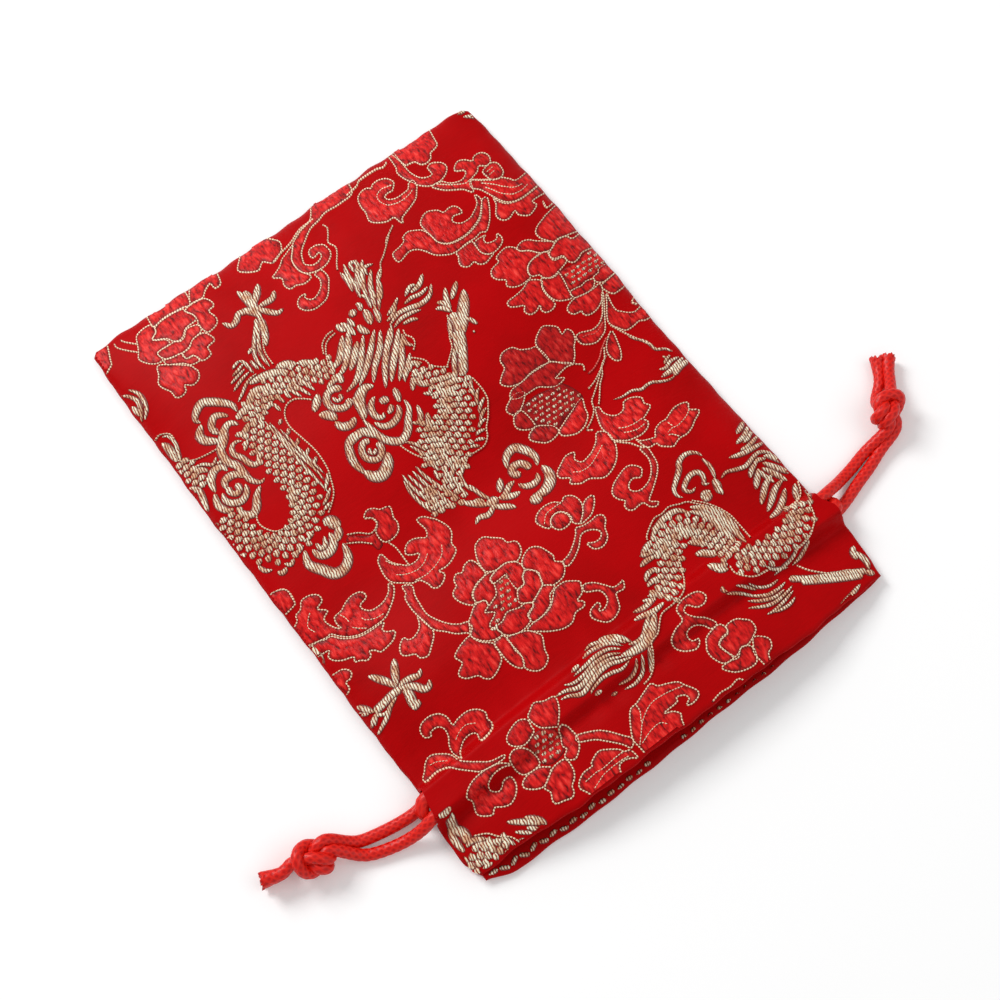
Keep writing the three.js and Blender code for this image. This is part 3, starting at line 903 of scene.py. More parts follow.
# %% Finish of the coral floats
coral, coral_shader = new_material("coral_floats", Roughness=0.42)
coral_shader.inputs["Specular IOR Level"].default_value = 0.18
coral_place = add_node(coral, "TexCoord")
crinkle_stretch = add_node(coral, "Mapping")
crinkle_stretch.inputs["Rotation"].default_value = (0, 0, math.radians(-18))
crinkle_stretch.inputs["Scale"].default_value = (1500.0, 420.0, 600.0)
crinkles = add_node(coral, "TexNoise", Scale=1.0, Detail=2.5, Roughness=0.6)
puff_stretch = add_node(coral, "Mapping")
puff_stretch.inputs["Rotation"].default_value = (0, 0, math.radians(-24))
puff_stretch.inputs["Scale"].default_value = (620.0, 300.0, 300.0)
puffs = add_node(coral, "TexVoronoi", feature="DISTANCE_TO_EDGE", Scale=1.0)
puff_share = add_node(coral, "Math", operation="MULTIPLY_ADD")
puff_share.inputs[1].default_value = 0.75
# Painted shade and highlight: the crinkle and puff pattern that drives the bump also darkens the coral in
# its hollows and lightens it on its tops.
coral_colours = colour_ramp(
    coral,
    (0.36, srgb(104, 0, 2)),
    (0.5, srgb(184, 4, 6)),
    (0.68, srgb(222, 24, 22)),
    (0.9, srgb(246, 66, 56)),
)
# Painted shade: the edge value mixes a dark red into the coral towards each patch's outline, at the foot of
# its raised rim, and over the whole of a flower that lies in shade.
near_edge = add_node(coral, "Attribute", attribute_name="edge")
coral_edge_shade = add_node(coral, "Mix", data_type="RGBA", blend_type="MIX")
coral_edge_shade.inputs["A"].default_value = (*srgb(90, 0, 2), 1)
crinkle_bump = add_node(coral, "Bump", Strength=0.8, Distance=0.0004)
join(
    coral,
    (coral_place.outputs["Object"], crinkle_stretch.inputs["Vector"]),
    (crinkle_stretch.outputs["Vector"], crinkles.inputs["Vector"]),
    (coral_place.outputs["Object"], puff_stretch.inputs["Vector"]),
    (puff_stretch.outputs["Vector"], puffs.inputs["Vector"]),
    (puffs.outputs["Distance"], puff_share.inputs[0]),
    (crinkles.outputs["Fac"], puff_share.inputs[2]),
    (puff_share.outputs["Value"], coral_colours.inputs["Fac"]),
    (near_edge.outputs["Fac"], coral_edge_shade.inputs["Factor"]),
    (coral_colours.outputs["Color"], coral_edge_shade.inputs["B"]),
    (coral_edge_shade.outputs["Result"], coral_shader.inputs["Base Color"]),
    (puff_share.outputs["Value"], crinkle_bump.inputs["Height"]),
    (crinkle_bump.outputs["Normal"], coral_shader.inputs["Normal"]),
)

# %% Finish of the gold thread
gold, gold_shader = new_material("gold_thread", Roughness=0.4)
gold_shader.inputs["Specular IOR Level"].default_value = 0.5
bead = add_node(gold, "Attribute", attribute_name="bead")
# The bead value paints the thread: dark at its feet, which is painted shade, and dark at the ties between
# beads, which is partly the red binding thread and partly painted shade.
gold_colours = colour_ramp(
    gold,
    (0.0, srgb(84, 4, 4)),
    (0.25, srgb(180, 90, 66)),
    (0.5, srgb(242, 206, 166)),
    (1.0, srgb(255, 240, 210)),
)
join(
    gold,
    (bead.outputs["Fac"], gold_colours.inputs["Fac"]),
    (gold_colours.outputs["Color"], gold_shader.inputs["Base Color"]),
)

# %% Finish of the coral thread
coral_thread, coral_thread_shader = new_material("coral_thread", Roughness=0.45)
coral_bead = add_node(coral_thread, "Attribute", attribute_name="bead")
# The bead value paints the thread: dark at its feet, which is painted shade, and dark at the ties between
# beads, which is partly the red binding thread and partly painted shade.
coral_thread_colours = colour_ramp(
    coral_thread, (0.0, srgb(140, 8, 12)), (0.6, srgb(238, 92, 78)), (1.0, srgb(255, 150, 128))
)
join(
    coral_thread,
    (coral_bead.outputs["Fac"], coral_thread_colours.inputs["Fac"]),
    (coral_thread_colours.outputs["Color"], coral_thread_shader.inputs["Base Color"]),
)

# %% Finish of the cream floats
cream, cream_shader = new_material("cream_floats", Roughness=0.42)
cream_shader.inputs["Specular IOR Level"].default_value = 0.5
cream_place = add_node(cream, "TexCoord")
tie_turn = add_node(cream, "Mapping")
tie_turn.inputs["Rotation"].default_value = (0, 0, math.radians(12))
tie_lines = add_node(cream, "TexWave", Scale=500.0, Distortion=3.4, Detail=1.0, bands_direction="X")
tie_lines.inputs["Detail Scale"].default_value = 2.0
# The tie lines set the cream's colour: the dark stops are the red ground between the cream threads together
# with painted shade in the grooves that the bump makes, and the brightest stop is a painted highlight on
# the ribs.
cream_colours = colour_ramp(
    cream,
    (0.0, srgb(124, 8, 4)),
    (0.2, srgb(180, 80, 54)),
    (0.38, srgb(242, 212, 162)),
    (0.66, srgb(255, 250, 222)),
)
# Painted shade: a noise darkens the cream to a deeper gold in patches, where the satin floats would catch
# less light.
shade_patches = add_node(cream, "TexNoise", Scale=420.0, Detail=3.0)
shade_patch_colours = colour_ramp(cream, (0.38, srgb(218, 150, 106)), (0.55, srgb(255, 255, 255)))
shade_patched = add_node(cream, "Mix", data_type="RGBA", blend_type="MULTIPLY")
shade_patched.inputs["Factor"].default_value = 0.75
# Painted shade: the edge value mixes a dark red into the cream at the foot of each stroke and each scale,
# and on the ground just beside it.
cream_edge = add_node(cream, "Attribute", attribute_name="edge")
cream_edge_shade = add_node(cream, "Mix", data_type="RGBA", blend_type="MIX")
cream_edge_shade.inputs["A"].default_value = (*srgb(116, 4, 2), 1)
tie_bump = add_node(cream, "Bump", Strength=0.9, Distance=0.0002)
join(
    cream,
    (cream_place.outputs["Object"], tie_turn.inputs["Vector"]),
    (tie_turn.outputs["Vector"], tie_lines.inputs["Vector"]),
    (tie_lines.outputs["Fac"], cream_colours.inputs["Fac"]),
    (cream_edge.outputs["Fac"], cream_edge_shade.inputs["Factor"]),
    (cream_place.outputs["Object"], shade_patches.inputs["Vector"]),
    (shade_patches.outputs["Fac"], shade_patch_colours.inputs["Fac"]),
    (cream_colours.outputs["Color"], shade_patched.inputs["A"]),
    (shade_patch_colours.outputs["Color"], shade_patched.inputs["B"]),
    (shade_patched.outputs["Result"], cream_edge_shade.inputs["B"]),
    (cream_edge_shade.outputs["Result"], cream_shader.inputs["Base Color"]),
    (tie_lines.outputs["Fac"], tie_bump.inputs["Height"]),
    (tie_bump.outputs["Normal"], cream_shader.inputs["Normal"]),
)

# %% [markdown]
# Writing a figure down
#
# A figure is a list of shapes, and a shape is a word followed by its points in millimetres. The words are:
#
# - float F: a closed coral patch with a gold outline, and patch F: the same with no outline. F is painted
#   shade over the whole patch: how much of the coral colour shows, from 0 to 1. It is left out for a
#   flower in full light, and a lower one paints the flower darker
# - thread: an open gold line, and vein: an open coral line
# - cream W: a cream stroke W mm wide that tapers to both ends, and band W: one with blunt ends
# - scales W: a band of the dragon's scales, W mm wide, along its spine
# - seeds F: a closed coral field, filled with rows of short cream dashes, with F the same painted shade as
#   for float
#
# A point that is written twice makes a sharp corner.

# %% Read figures
WORDS = ("float", "patch", "thread", "vein", "cream", "band", "scales", "seeds")
CUT_AT_SIDE_MM = 54.9
CUT_AT_END_MM = 77.9
CUT_AT_MOUTH_MM = 77.55
BEYOND_MM = 4.0


def past_the_seams(points, word):
    """A petal that touches a seam goes on past it, so that its outline doesn't run along the seam."""
    if word in ("float", "patch", "seeds"):
        side = np.abs(points[:, 0]) > CUT_AT_SIDE_MM
        points[side, 0] += np.sign(points[side, 0]) * BEYOND_MM
        points[points[:, 1] < -CUT_AT_END_MM, 1] -= BEYOND_MM
        points[points[:, 1] > CUT_AT_MOUTH_MM, 1] += BEYOND_MM
    return points


def read_figures(text):
    """Turns the words and points of a figure into a list of (word, width, points)."""
    shapes = []
    for token in text.split():
        if token in WORDS:
            shapes.append([token, 0.0, []])
        elif "," in token:
            shapes[-1][2].append([float(value) for value in token.split(",")])
        else:
            shapes[-1][1] = float(token)
    return [(word, width, past_the_seams(np.array(points), word)) for word, width, points in shapes]


# %% [markdown]
# Raised threads
#
# A thread is a narrow ridge with three points across: its left foot, its crown and its right foot. Along
# its length the crown rises and falls, which makes the beads. The feet reach just into the cloth, so that
# no gap shows from the side.

# %% Build raised threads and strokes
BEAD_MM = 0.7
BEAD_STATIONS = 3
FOOT_MM = -0.07
HAIR_MM = 0.004
HAIR_STEPS = 11
SHADE_MM = 0.08
THREAD_WIDTH_MM = 0.48
THREAD_RISE_MM = 0.34
RISE_OVER_PETALS_MM = 0.52
EDGE_MARGIN_MM = 0.1
CREAM_RISE_MM = 0.32
CREAM_FULLNESS = 1.1
FINE_STROKE_MM = 1.25
STROKE_STEP_MM = 0.4
TAPER = 0.55


class Mesh:
    """Gathers many small bits of mesh, which become one piece."""

    def __init__(self):
        self.places, self.lifts, self.values, self.faces, self.count = [], [], [], [], 0

    def add(self, places, lifts, values, faces):
        """Each bit lies a hair higher than the one before, so that no two that cross share a face."""
        self.places.append(places)
        self.lifts.append(lifts + HAIR_MM * (len(self.lifts) % HAIR_STEPS))
        self.values.append(values)
        self.faces.append(np.asarray(faces) + self.count)
        self.count += len(places)

    def piece(self, name, on_cloth, keep, material, value_name):
        """Makes the piece, without the faces that lie beyond the cloth's edge."""
        places, lifts = np.concatenate(self.places), np.concatenate(self.lifts)
        values = np.concatenate(self.values)
        inside = keep(places)
        faces = [part[inside[part].all(axis=1)] for part in self.faces]
        faces = [tuple(face) for part in faces for face in part]
        used = np.unique(np.concatenate([np.array(face) for face in faces]))
        place_of = np.full(len(places), -1)
        place_of[used] = np.arange(len(used))
        points = on_cloth(places[used], lifts[used])
        faces = [tuple(place_of[list(face)]) for face in faces]
        return make_piece(name, points, faces, material, {value_name: values[used]})


def ribs(line, widths, profile, closed):
    """Rows of points across a line. profile has (share of the half width, lift, value) for each point."""
    if closed:
        run = np.roll(line, -1, axis=0) - np.roll(line, 1, axis=0)
    else:
        run = np.gradient(line, axis=0)
    run /= np.maximum(1e-9, np.linalg.norm(run, axis=1))[:, None]
    across = np.stack([-run[:, 1], run[:, 0]], axis=1)
    places = [line + across * (share * widths / 2)[:, None] for share, _, _ in profile]
    return np.stack(places, axis=1).reshape(-1, 2)


def ridge(mesh, line, widths, profile, closed=False):
    """Adds a ridge. A lift or value in the profile is one number, or one for each point of the line."""
    rows, columns = len(line), len(profile)
    places = ribs(line, widths, profile, closed)
    lifts = np.stack([np.broadcast_to(lift, rows) for _, lift, _ in profile], axis=1).ravel()
    values = np.stack([np.broadcast_to(value, rows) for _, _, value in profile], axis=1).ravel()
    row = np.arange(rows if closed else rows - 1)
    faces = []
    for k in range(columns - 1):
        here, there = row * columns + k, ((row + 1) % rows) * columns + k
        faces.append(np.stack([here, there, there + 1, here + 1], axis=1)[:, ::-1])
    mesh.add(places, lifts, values, np.concatenate(faces))


def beaded(mesh, points, closed=False, width=THREAD_WIDTH_MM, rise=THREAD_RISE_MM):
    line = smooth_line(points, BEAD_MM / BEAD_STATIONS, closed)
    if closed:
        line = line[:-1]
    phase = np.arange(len(line)) % BEAD_STATIONS
    full = np.where(phase == 0, 0.0, 1.0)
    if not closed:
        full[[0, -1]] = 0
    widths = width * (0.72 + 0.28 * full)
    crown = rise * (0.7 + 0.3 * full)
    # The feet, and the whole tie between two beads, carry a low bead value, which the finish paints dark:
    # painted shade at the feet, and at the ties partly the red binding thread.
    foot = (FOOT_MM, 0.1 * full)
    ridge(mesh, line, widths, [(1, *foot), (0, crown, full), (-1, *foot)], closed)


def stroke(mesh, points, width, blunt):
    """A cream stroke with a flat crown and a line of painted shade along each side, at its foot."""
    width = width * (CREAM_FULLNESS if width > FINE_STROKE_MM else 1.0)
    line = smooth_line(points, STROKE_STEP_MM)
    share = np.linspace(0, 1, len(line))
    if blunt:
        reach = lengths_along(line)
        ends = np.minimum(reach, reach[-1] - reach) / (0.5 * width)
        widths = width * np.sqrt(1 - (1 - np.clip(ends, 0, 1)) ** 2)
    else:
        widths = width * np.clip(4 * share * (1 - share), 0, 1) ** TAPER
    crown = CREAM_RISE_MM * np.minimum(1, widths / max(0.3, 0.6 * width)) + 0.02
    # The outer points carry the value 0, which paints shade along the stroke's foot and on the ground just
    # beside it.
    outer = 1 + 2 * SHADE_MM / np.maximum(widths, 0.3)
    half = [(outer, 0.0, 0.0), (0.96, 0.06, 0.0), (0.5, crown, 1.0)]
    other_half = [(-share, lift, value) for share, lift, value in half[::-1]]
    ridge(mesh, line, widths, half + other_half)


# %% [markdown]
# Coral patches
#
# A petal is a closed outline. Points are spread inside it on a triangular lattice and joined into
# triangles with Blender's own Delaunay tool. The patch rises quickly from its edge and then stays level,
# like a small quilted pillow, with uneven crinkles on top.

# %% Build coral patches
PATCH_STEP_MM = 0.6
PATCH_ROW_MM = 0.87 * PATCH_STEP_MM
PATCH_MARGIN_MM = 0.42 * PATCH_STEP_MM
PATCH_FOOT_MM = 0.03
PATCH_RISE_MM = 0.26
PATCH_EDGE_MM = 0.5
EDGE_SHADE_MM = 0.8
CRINKLE_MM = 0.09


def inside_outline(points, outline):
    """True for the points inside a closed outline, and each point's distance from it."""
    start, end = outline, np.roll(outline, -1, axis=0)
    x, y = points[:, 0:1], points[:, 1:2]
    rises = (start[None, :, 1] > y) != (end[None, :, 1] > y)
    run = (end[:, 1] - start[:, 1])[None, :]
    run = np.where(np.abs(run) < 1e-9, 1e-9, run)
    crossing = start[None, :, 0] + (y - start[None, :, 1]) * (end[:, 0] - start[:, 0])[None, :] / run
    inside = (rises & (x < crossing)).sum(axis=1) % 2 == 1
    middle = (start + end) / 2
    distance = np.sqrt(((points[:, None] - middle[None]) ** 2).sum(axis=2)).min(axis=1)
    return inside, distance


def crinkle(places):
    """A repeatable unevenness from a few crossing waves, longer along the floats than across them."""
    x, y = places[:, 0], places[:, 1]
    u, v = x + 0.33 * y, y - 0.33 * x
    bend = 0.8 * np.sin(0.9 * v + 0.6 * u)
    folds = np.sin(4.1 * u + bend) * np.sin(1.3 * v + 1.7 * np.sin(1.1 * u)) * 0.6
    return folds + 0.4 * np.sin(2.3 * u - 1.9 * v)


def patch(mesh, points, painted_light_share):
    outline = smooth_line(points, PATCH_STEP_MM, closed=True)[:-1]
    low, high = outline.min(axis=0), outline.max(axis=0)
    rows = np.arange(low[1], high[1], PATCH_ROW_MM)
    columns = np.arange(low[0], high[0], PATCH_STEP_MM)
    lattice = [(x + (i % 2) * PATCH_STEP_MM / 2, y) for i, y in enumerate(rows) for x in columns]
    lattice = np.array(lattice).reshape(-1, 2)
    inside, distance = inside_outline(lattice, outline)
    kept = inside & (distance > PATCH_MARGIN_MM)
    lattice, distance = lattice[kept], distance[kept]
    corners = [Vector(point) for point in np.concatenate([outline, lattice])]
    ring = [(i, (i + 1) % len(outline)) for i in range(len(outline))]
    made = delaunay_2d_cdt(corners, ring, [], 1, 1e-5)
    places = np.array([tuple(point) for point in made[0]])
    triangles = np.array([face for face in made[2] if len(face) == 3])
    if not len(triangles):
        return
    depth = np.zeros(len(places))
    for i, sources in enumerate(made[3]):
        inner = [source - len(outline) for source in sources if source >= len(outline)]
        if inner:
            depth[i] = distance[inner[0]]
    level = 1 - np.exp(-depth / PATCH_EDGE_MM)
    lifts = PATCH_FOOT_MM + level * (PATCH_RISE_MM + CRINKLE_MM * crinkle(places))
    # Painted shade: the value falls to 0 at the outline, which darkens the coral at the foot of its rim,
    # and the share given with the figure darkens the whole patch where a flower lies in shade.
    mesh.add(places, lifts, painted_light_share * np.clip(depth / EDGE_SHADE_MM, 0, 1), triangles)


# %% [markdown]
# The dragon's scales
#
# Each scale is a small rounded shield that overlaps the next row. They are set in rows across the spine,
# every second row half a scale over, and shrink towards the edges of the body.

# %% Build rows of scales
SCALE_MM = 2.1
SCALE_ROW_MM = 1.5
SCALE_RISE_MM = 0.36
SCALE_FOOT_MM = 0.02
CROWN_SHARE = 0.7
# The rim of one scale, as shares of its size across and along the spine.
SHIELD = [(-0.45, -0.16), (-0.46, 0.1), (-0.26, 0.36), (0.0, 0.46), (0.26, 0.36), (0.46, 0.1),
          (0.45, -0.16), (0.0, -0.34)]


def scales(mesh, points, width):
    line = smooth_line(points, SCALE_ROW_MM)
    run = np.gradient(line, axis=0)
    run /= np.linalg.norm(run, axis=1)[:, None]
    count = max(2, round(width / SCALE_MM))
    for i, (middle, along) in enumerate(zip(line, run)):
        across = np.array([-along[1], along[0]])
        for k in range(count + 1 - i % 2):
            offset = (k - (count - i % 2) / 2) * width / (count + 0.2)
            size = SCALE_MM * (1.08 - 0.2 * abs(2 * offset / width) ** 2)
            centre = middle + across * offset
            ring = np.array([centre + across * u * size + along * v * size for u, v in SHIELD])
            crown = centre + (ring - centre) * CROWN_SHARE
            n = len(ring)
            lifts = np.array([SCALE_FOOT_MM] * n + [0.8 * SCALE_RISE_MM] * n + [SCALE_RISE_MM])
            # Painted shade: the rim of each scale carries the value 0, which paints the gaps between the
            # scales dark.
            values = np.array([0.0] * n + [1.0] * (n + 1))
            walls = [(j, n + j, n + (j + 1) % n, (j + 1) % n) for j in range(n)]
            lower, upper = [(a, b, c) for a, b, c, d in walls], [(a, c, d) for a, b, c, d in walls]
            roof = [(2 * n, n + (j + 1) % n, n + j) for j in range(n)]
            faces = np.array(lower + upper + roof)
            mesh.add(np.concatenate([ring, crown, [centre]]), lifts, values, faces)


# %% [markdown]
# Seeds of a peony
#
# The middle of each flower is a coral field with rows of short cream dashes, like the stamens seen from
# above. Every second row is shifted by half a dash.

# %% Build the seeds
SEED_ROW_MM = 1.35
SEED_GAP_MM = 1.75
SEED_LENGTH_MM = 1.15
SEED_WIDTH_MM = 0.9
SEED_RISE_MM = 0.32
SEED_FOOT_MM = 0.25
SEED_MARGIN_MM = 0.7


def seeds(field, dashes, points, painted_light_share):
    patch(field, points, painted_light_share)
    outline = smooth_line(points, PATCH_STEP_MM, closed=True)[:-1]
    low, high = outline.min(axis=0), outline.max(axis=0)
    for i, y in enumerate(np.arange(low[1] + 0.9, high[1], SEED_ROW_MM)):
        x = np.arange(low[0] + 0.8 + (i % 2) * SEED_GAP_MM / 2, high[0], SEED_GAP_MM)
        centres = np.stack([x, np.full_like(x, y) + 0.12 * np.sin(x)], axis=1)
        if not len(centres):
            continue
        inside, distance = inside_outline(centres, outline)
        for centre in centres[inside & (distance > SEED_MARGIN_MM)]:
            run = np.array([0.5 * SEED_LENGTH_MM, 0.06])
            line = np.stack([centre - run, centre, centre + run])
            crown = PATCH_RISE_MM + SEED_RISE_MM
            # Painted shade: the dash's feet carry a lower value than its crown, which darkens them a
            # little.
            profile = [(1, SEED_FOOT_MM, 0.5), (0, crown, 1.0), (-1, SEED_FOOT_MM, 0.5)]
            ridge(dashes, line, SEED_WIDTH_MM * np.array([0.45, 1.0, 0.45]), profile)


# %% [markdown]
# The figures themselves
#
# The pattern is a traditional one, dragons among peonies. It was drawn from the photograph, one part
# of the pouch at a time, in millimetres from the pouch's middle. The mouth is towards greater y.

# %% Start the list of figures
FIGURES = {}

# %% [markdown]
# Lower left corner: two big leaves with forked tips, and the small bud below them.

# %% Lower left leaves
FIGURES["lower_left_leaves"] = """
float -57,-47.2 -55.3,-46.7 -53.6,-47 -53.5,-45.5 -52.5,-44.8 -50.5,-44.2 -49.3,-44.8 -48.3,-46 -48.2,-47.4
-46,-46.6 -44.5,-47 -43.8,-48.2 -44,-49.5 -45,-50.8 -45.9,-52 -46.4,-53.8 -46.8,-52 -48,-50.3 -50,-49.4
-53,-49.1 -55.2,-49.8 -57,-51
float -43.8,-59.5 -45.3,-57.5 -46.4,-54.5 -47.3,-52 -48.3,-50.6 -50,-49.6 -53,-49.3 -55.2,-50 -56.6,-51.2
-57,-52.7 -56.3,-54 -55.2,-54.6 -54,-54.2 -52.8,-55.5 -51.5,-57 -49.5,-57.9 -47.5,-59.5 -45,-61.2
float -43.3,-57.3 -42.3,-55 -40.3,-53.6 -38.7,-52.8 -36.7,-52.7 -35.3,-53.3 -34.5,-54.6 -35.5,-55.7
-37.7,-55.2 -38,-56.7 -37.2,-58 -36,-58.3 -34.3,-58.1 -33.6,-59.3 -32.3,-60.3 -30.9,-60.8 -29.3,-60.3
-28,-59.2 -27.7,-58 -27.9,-54.8 -28.2,-52.3 -29.7,-50.5 -31.7,-49.8 -34.7,-49.6 -37.3,-50.1 -40,-51.2
-42,-53 -43.7,-55.2
float -45.2,-54.8 -44.3,-52.7 -42.7,-50.3 -41.3,-48.7 -39.3,-47.2 -38,-47.8 -36,-47.4 -33.3,-47.5
-30.7,-47.2 -28.7,-47.5 -26.7,-48.7 -25.3,-50 -24.3,-52 -23,-53.7 -21,-54.5 -17.5,-53.7 -17.5,-56.4 -20,-57
-21.7,-57.6 -22.3,-58.7 -24,-59.2 -25.7,-58.4 -27.2,-57.2 -27.9,-54.8 -28.2,-52.1 -29.7,-50.3 -31.7,-49.5
-34.7,-49.3 -37.3,-49.8 -40,-50.9 -42,-52.7 -43.8,-55
float -35.2,-46.5 -34.7,-44.3 -34.8,-43 -35.7,-41.8 -37.3,-41.3 -39.3,-41.7 -40.7,-42.5 -41.2,-43.7
-40.9,-45 -40,-43.9 -38.3,-44 -37.3,-44.6 -37.4,-45.8 -38.3,-46.5
float -37,-41.2 -35.7,-40.7 -33.7,-40.2 -32.3,-41 -31.8,-42.2 -30,-42 -28.8,-43 -28.8,-44.3 -29.7,-45.8
-30,-47 -32.5,-47.2 -34.8,-47 -34.6,-44.2 -34.9,-42.8 -35.8,-41.7
float -49.2,-57.9 -51,-57.2 -52.7,-58 -53.2,-59.7 -53,-61.3 -51.7,-62.2 -50,-61.9 -48.8,-61.3 -48.8,-59.6
float -49,-63.3 -50.5,-62.2 -51.8,-62.3 -52.7,-63.7 -52.5,-65.3 -51.3,-66.3 -49.7,-66.3 -48.7,-65.5
-47.3,-67 -45.7,-67.7 -44,-66.7 -43.7,-65.7 -45.3,-64.7 -45.3,-63.7 -43.7,-62.8 -42,-63 -40.3,-64 -39,-65.6
-36.4,-65.8 -38,-63.3 -40,-61.7 -42,-60.3 -43.5,-58.2 -45,-61.2 -47.7,-62.2
float -34.7,-78.7 -34.5,-74.7 -34.7,-72 -35.7,-69.7 -37.3,-68.7 -38.5,-68.7 -38.7,-69.8 -38.8,-71
-40.3,-71.4 -42.3,-70 -42.7,-68.3 -41.3,-66.7 -39,-65.9 -36.3,-66.2 -34,-68.3 -33,-70.5 -32.2,-72.7
-32,-74.7 -32.7,-76.3 -33.4,-78.7
float -45,-79 -45,-76 -44,-74.5 -42,-74 -41,-72.7 -39.3,-72.2 -38,-72.8 -37.3,-74.3 -35.7,-74.8 -34.8,-75.5
-34.8,-79
float -33.8,-70.2 -33.6,-68.5 -32.7,-67.3 -31.3,-65.7 -29.3,-64.7 -26.7,-63.8 -25.3,-63.2 -24.7,-62
-24.2,-62.9 -23.8,-64.6 -21.7,-64.8 -19.7,-66 -18.5,-67.5 -18.8,-69 -19.2,-70.3 -19.2,-72.3 -20,-74.7
-21.7,-75.7 -23.3,-75.7 -24.3,-75 -25.3,-75.7 -27.3,-75.7 -29,-74.7 -29.7,-73 -28.7,-71.7 -27.8,-71.1
-26.7,-71.3 -25.5,-70.8 -25.7,-69.7 -27.3,-68.8 -29.3,-68.7 -31.3,-69 -32.5,-70.3
thread -55.2,-51.4 -53,-51 -50.5,-51.5 -48.5,-53.5 -47.5,-55.5 -46.4,-57.5
thread -54.2,-52.3 -52,-52.8 -50,-54.8 -48.5,-56.8 -46.3,-59
thread -51.2,-59.7 -49.4,-59.5 thread -51.5,-60.8 -49.4,-60.6
thread -49,-58 -46.7,-59.7 -45,-61.3 -43.3,-61.3 -41,-62.7 -39,-64.3 -37.5,-65.8
thread -32,-68 -30,-67.3 -27.7,-67.2 -25.7,-67.7 -24.3,-68.7 -23.7,-70.7 -24.2,-72.3 -26,-73 -27.7,-72.7
-29,-72.3 thread -31.7,-78.6 -30,-78 -28.3,-78.6 -23.3,-78.6 -21.7,-77.7 -18,-77
thread -22.3,-63 -20.7,-62 -19,-61 -17.8,-59.8
thread -56.6,-43.2 -54.8,-43.2 -55.2,-45.2
cream 1.1 -57.2,-74.7 -56.3,-76.3 -54.7,-77.4
cream 0.9 -56.2,-78.4 -54,-79
"""

# %% [markdown]
# Middle of the closed end: a rolled leaf on a long stem, and a clover-shaped petal cut by the seam.

# %% Closed end scroll
FIGURES["closed_end_scroll"] = """
float -1.2,-64 -1.5,-61.3 -0.3,-59.3 1.3,-57.3 3,-56.3 6,-56 8,-57 8.9,-58.7 8.3,-60.2 7,-61 5.5,-60.8
6.2,-60.2 5.8,-59.1 4.7,-58.5 3,-59 1.3,-60.3 0.5,-62 0.7,-63.8
float -6,-67.7 -5.8,-66.3 -4.8,-65.2 -3,-64.3 -0.7,-64.2 1.7,-65 3,-66.7 3.2,-69 2.7,-71 1.3,-72.7 0,-74.3
-3.3,-76 -7.3,-77.3 -11,-78 -15,-78.4 -20,-79 -20,-77.2 -15.7,-76.3 -11.3,-76.5 -8.7,-75.7 -5.7,-75 -2.7,-73
-0.3,-71 0.7,-69 1,-67.7 -0.3,-66.3 -2,-66.2 -3.5,-67 -3.5,-68.2 -1.8,-67.8 -1.3,-68.7 -2,-70.2 -4,-70.3
-5.7,-69.3
float 1.7,-64 4,-63.3 6,-64.2 7.7,-64.3 8.3,-66 7.7,-68 9.3,-69.5 8,-70.2 6.3,-71 4.7,-72.3 3,-73 0.3,-74
1.3,-72.7 2.7,-71 3.2,-69 3,-66.7
float 2.7,-77.7 3,-75 4.7,-73.7 7,-73 8.8,-74.7 10.7,-73.5 12.3,-74 13.7,-75 14.8,-76.3 14,-77.8 8.3,-78.2
thread -8,-76.8 -3.3,-76.4 0.3,-74.8 4,-73.9 7,-72.9
"""

# %% [markdown]
# Above the rolled leaf: the hairy heel of the main dragon's leg, with two loose threads.

# %% Main dragon leg
FIGURES["main_dragon_leg"] = """
thread -20,-61.5 -18,-59.7 -15.7,-57.7 -13.7,-56.3 -12.6,-54.5 -11.3,-53
thread -4.3,-61.3 -5.3,-63 -7,-65.3 -7.7,-67 -7,-69 -8.3,-71 -9.2,-72.7 -8.8,-74
cream 1.2 -6,-46 -8,-49 -10,-52 -11.7,-54.5
cream 1.3 -5.3,-46.5 -6.8,-50 -8.5,-53.3 -11,-56.5
cream 1.3 -5.5,-50 -6.7,-53.7 -8.7,-57 -10.8,-60
cream 1.4 -5.8,-53 -7,-56.5 -9,-59.5 -8.3,-61.5
cream 1.3 -4.3,-51.5 -5.3,-55 -5.5,-58.5 -6.5,-61.8
cream 1.2 -3.8,-54 -4.5,-57 -4.5,-60.5
cream 1.3 -8,-48 -9.7,-51 -10.8,-52.3 cream 1.1 -4.7,-47.5 -5.5,-50.8 -4,-52.5
cream 1 -9.3,-55.5 -10,-57.7 -12.2,-57.3
cream 1.1 -7.3,-58 -7.7,-60.8 -9.7,-60.5
cream 1.1 -9,-50 -10.6,-53 -12.8,-55.2
cream 1.1 -7.3,-49 -7.9,-52.6 -9.7,-55
"""

# %% [markdown]
# Middle: the belly of the main dragon with a scalloped edge, and whiskers that blow to the left.

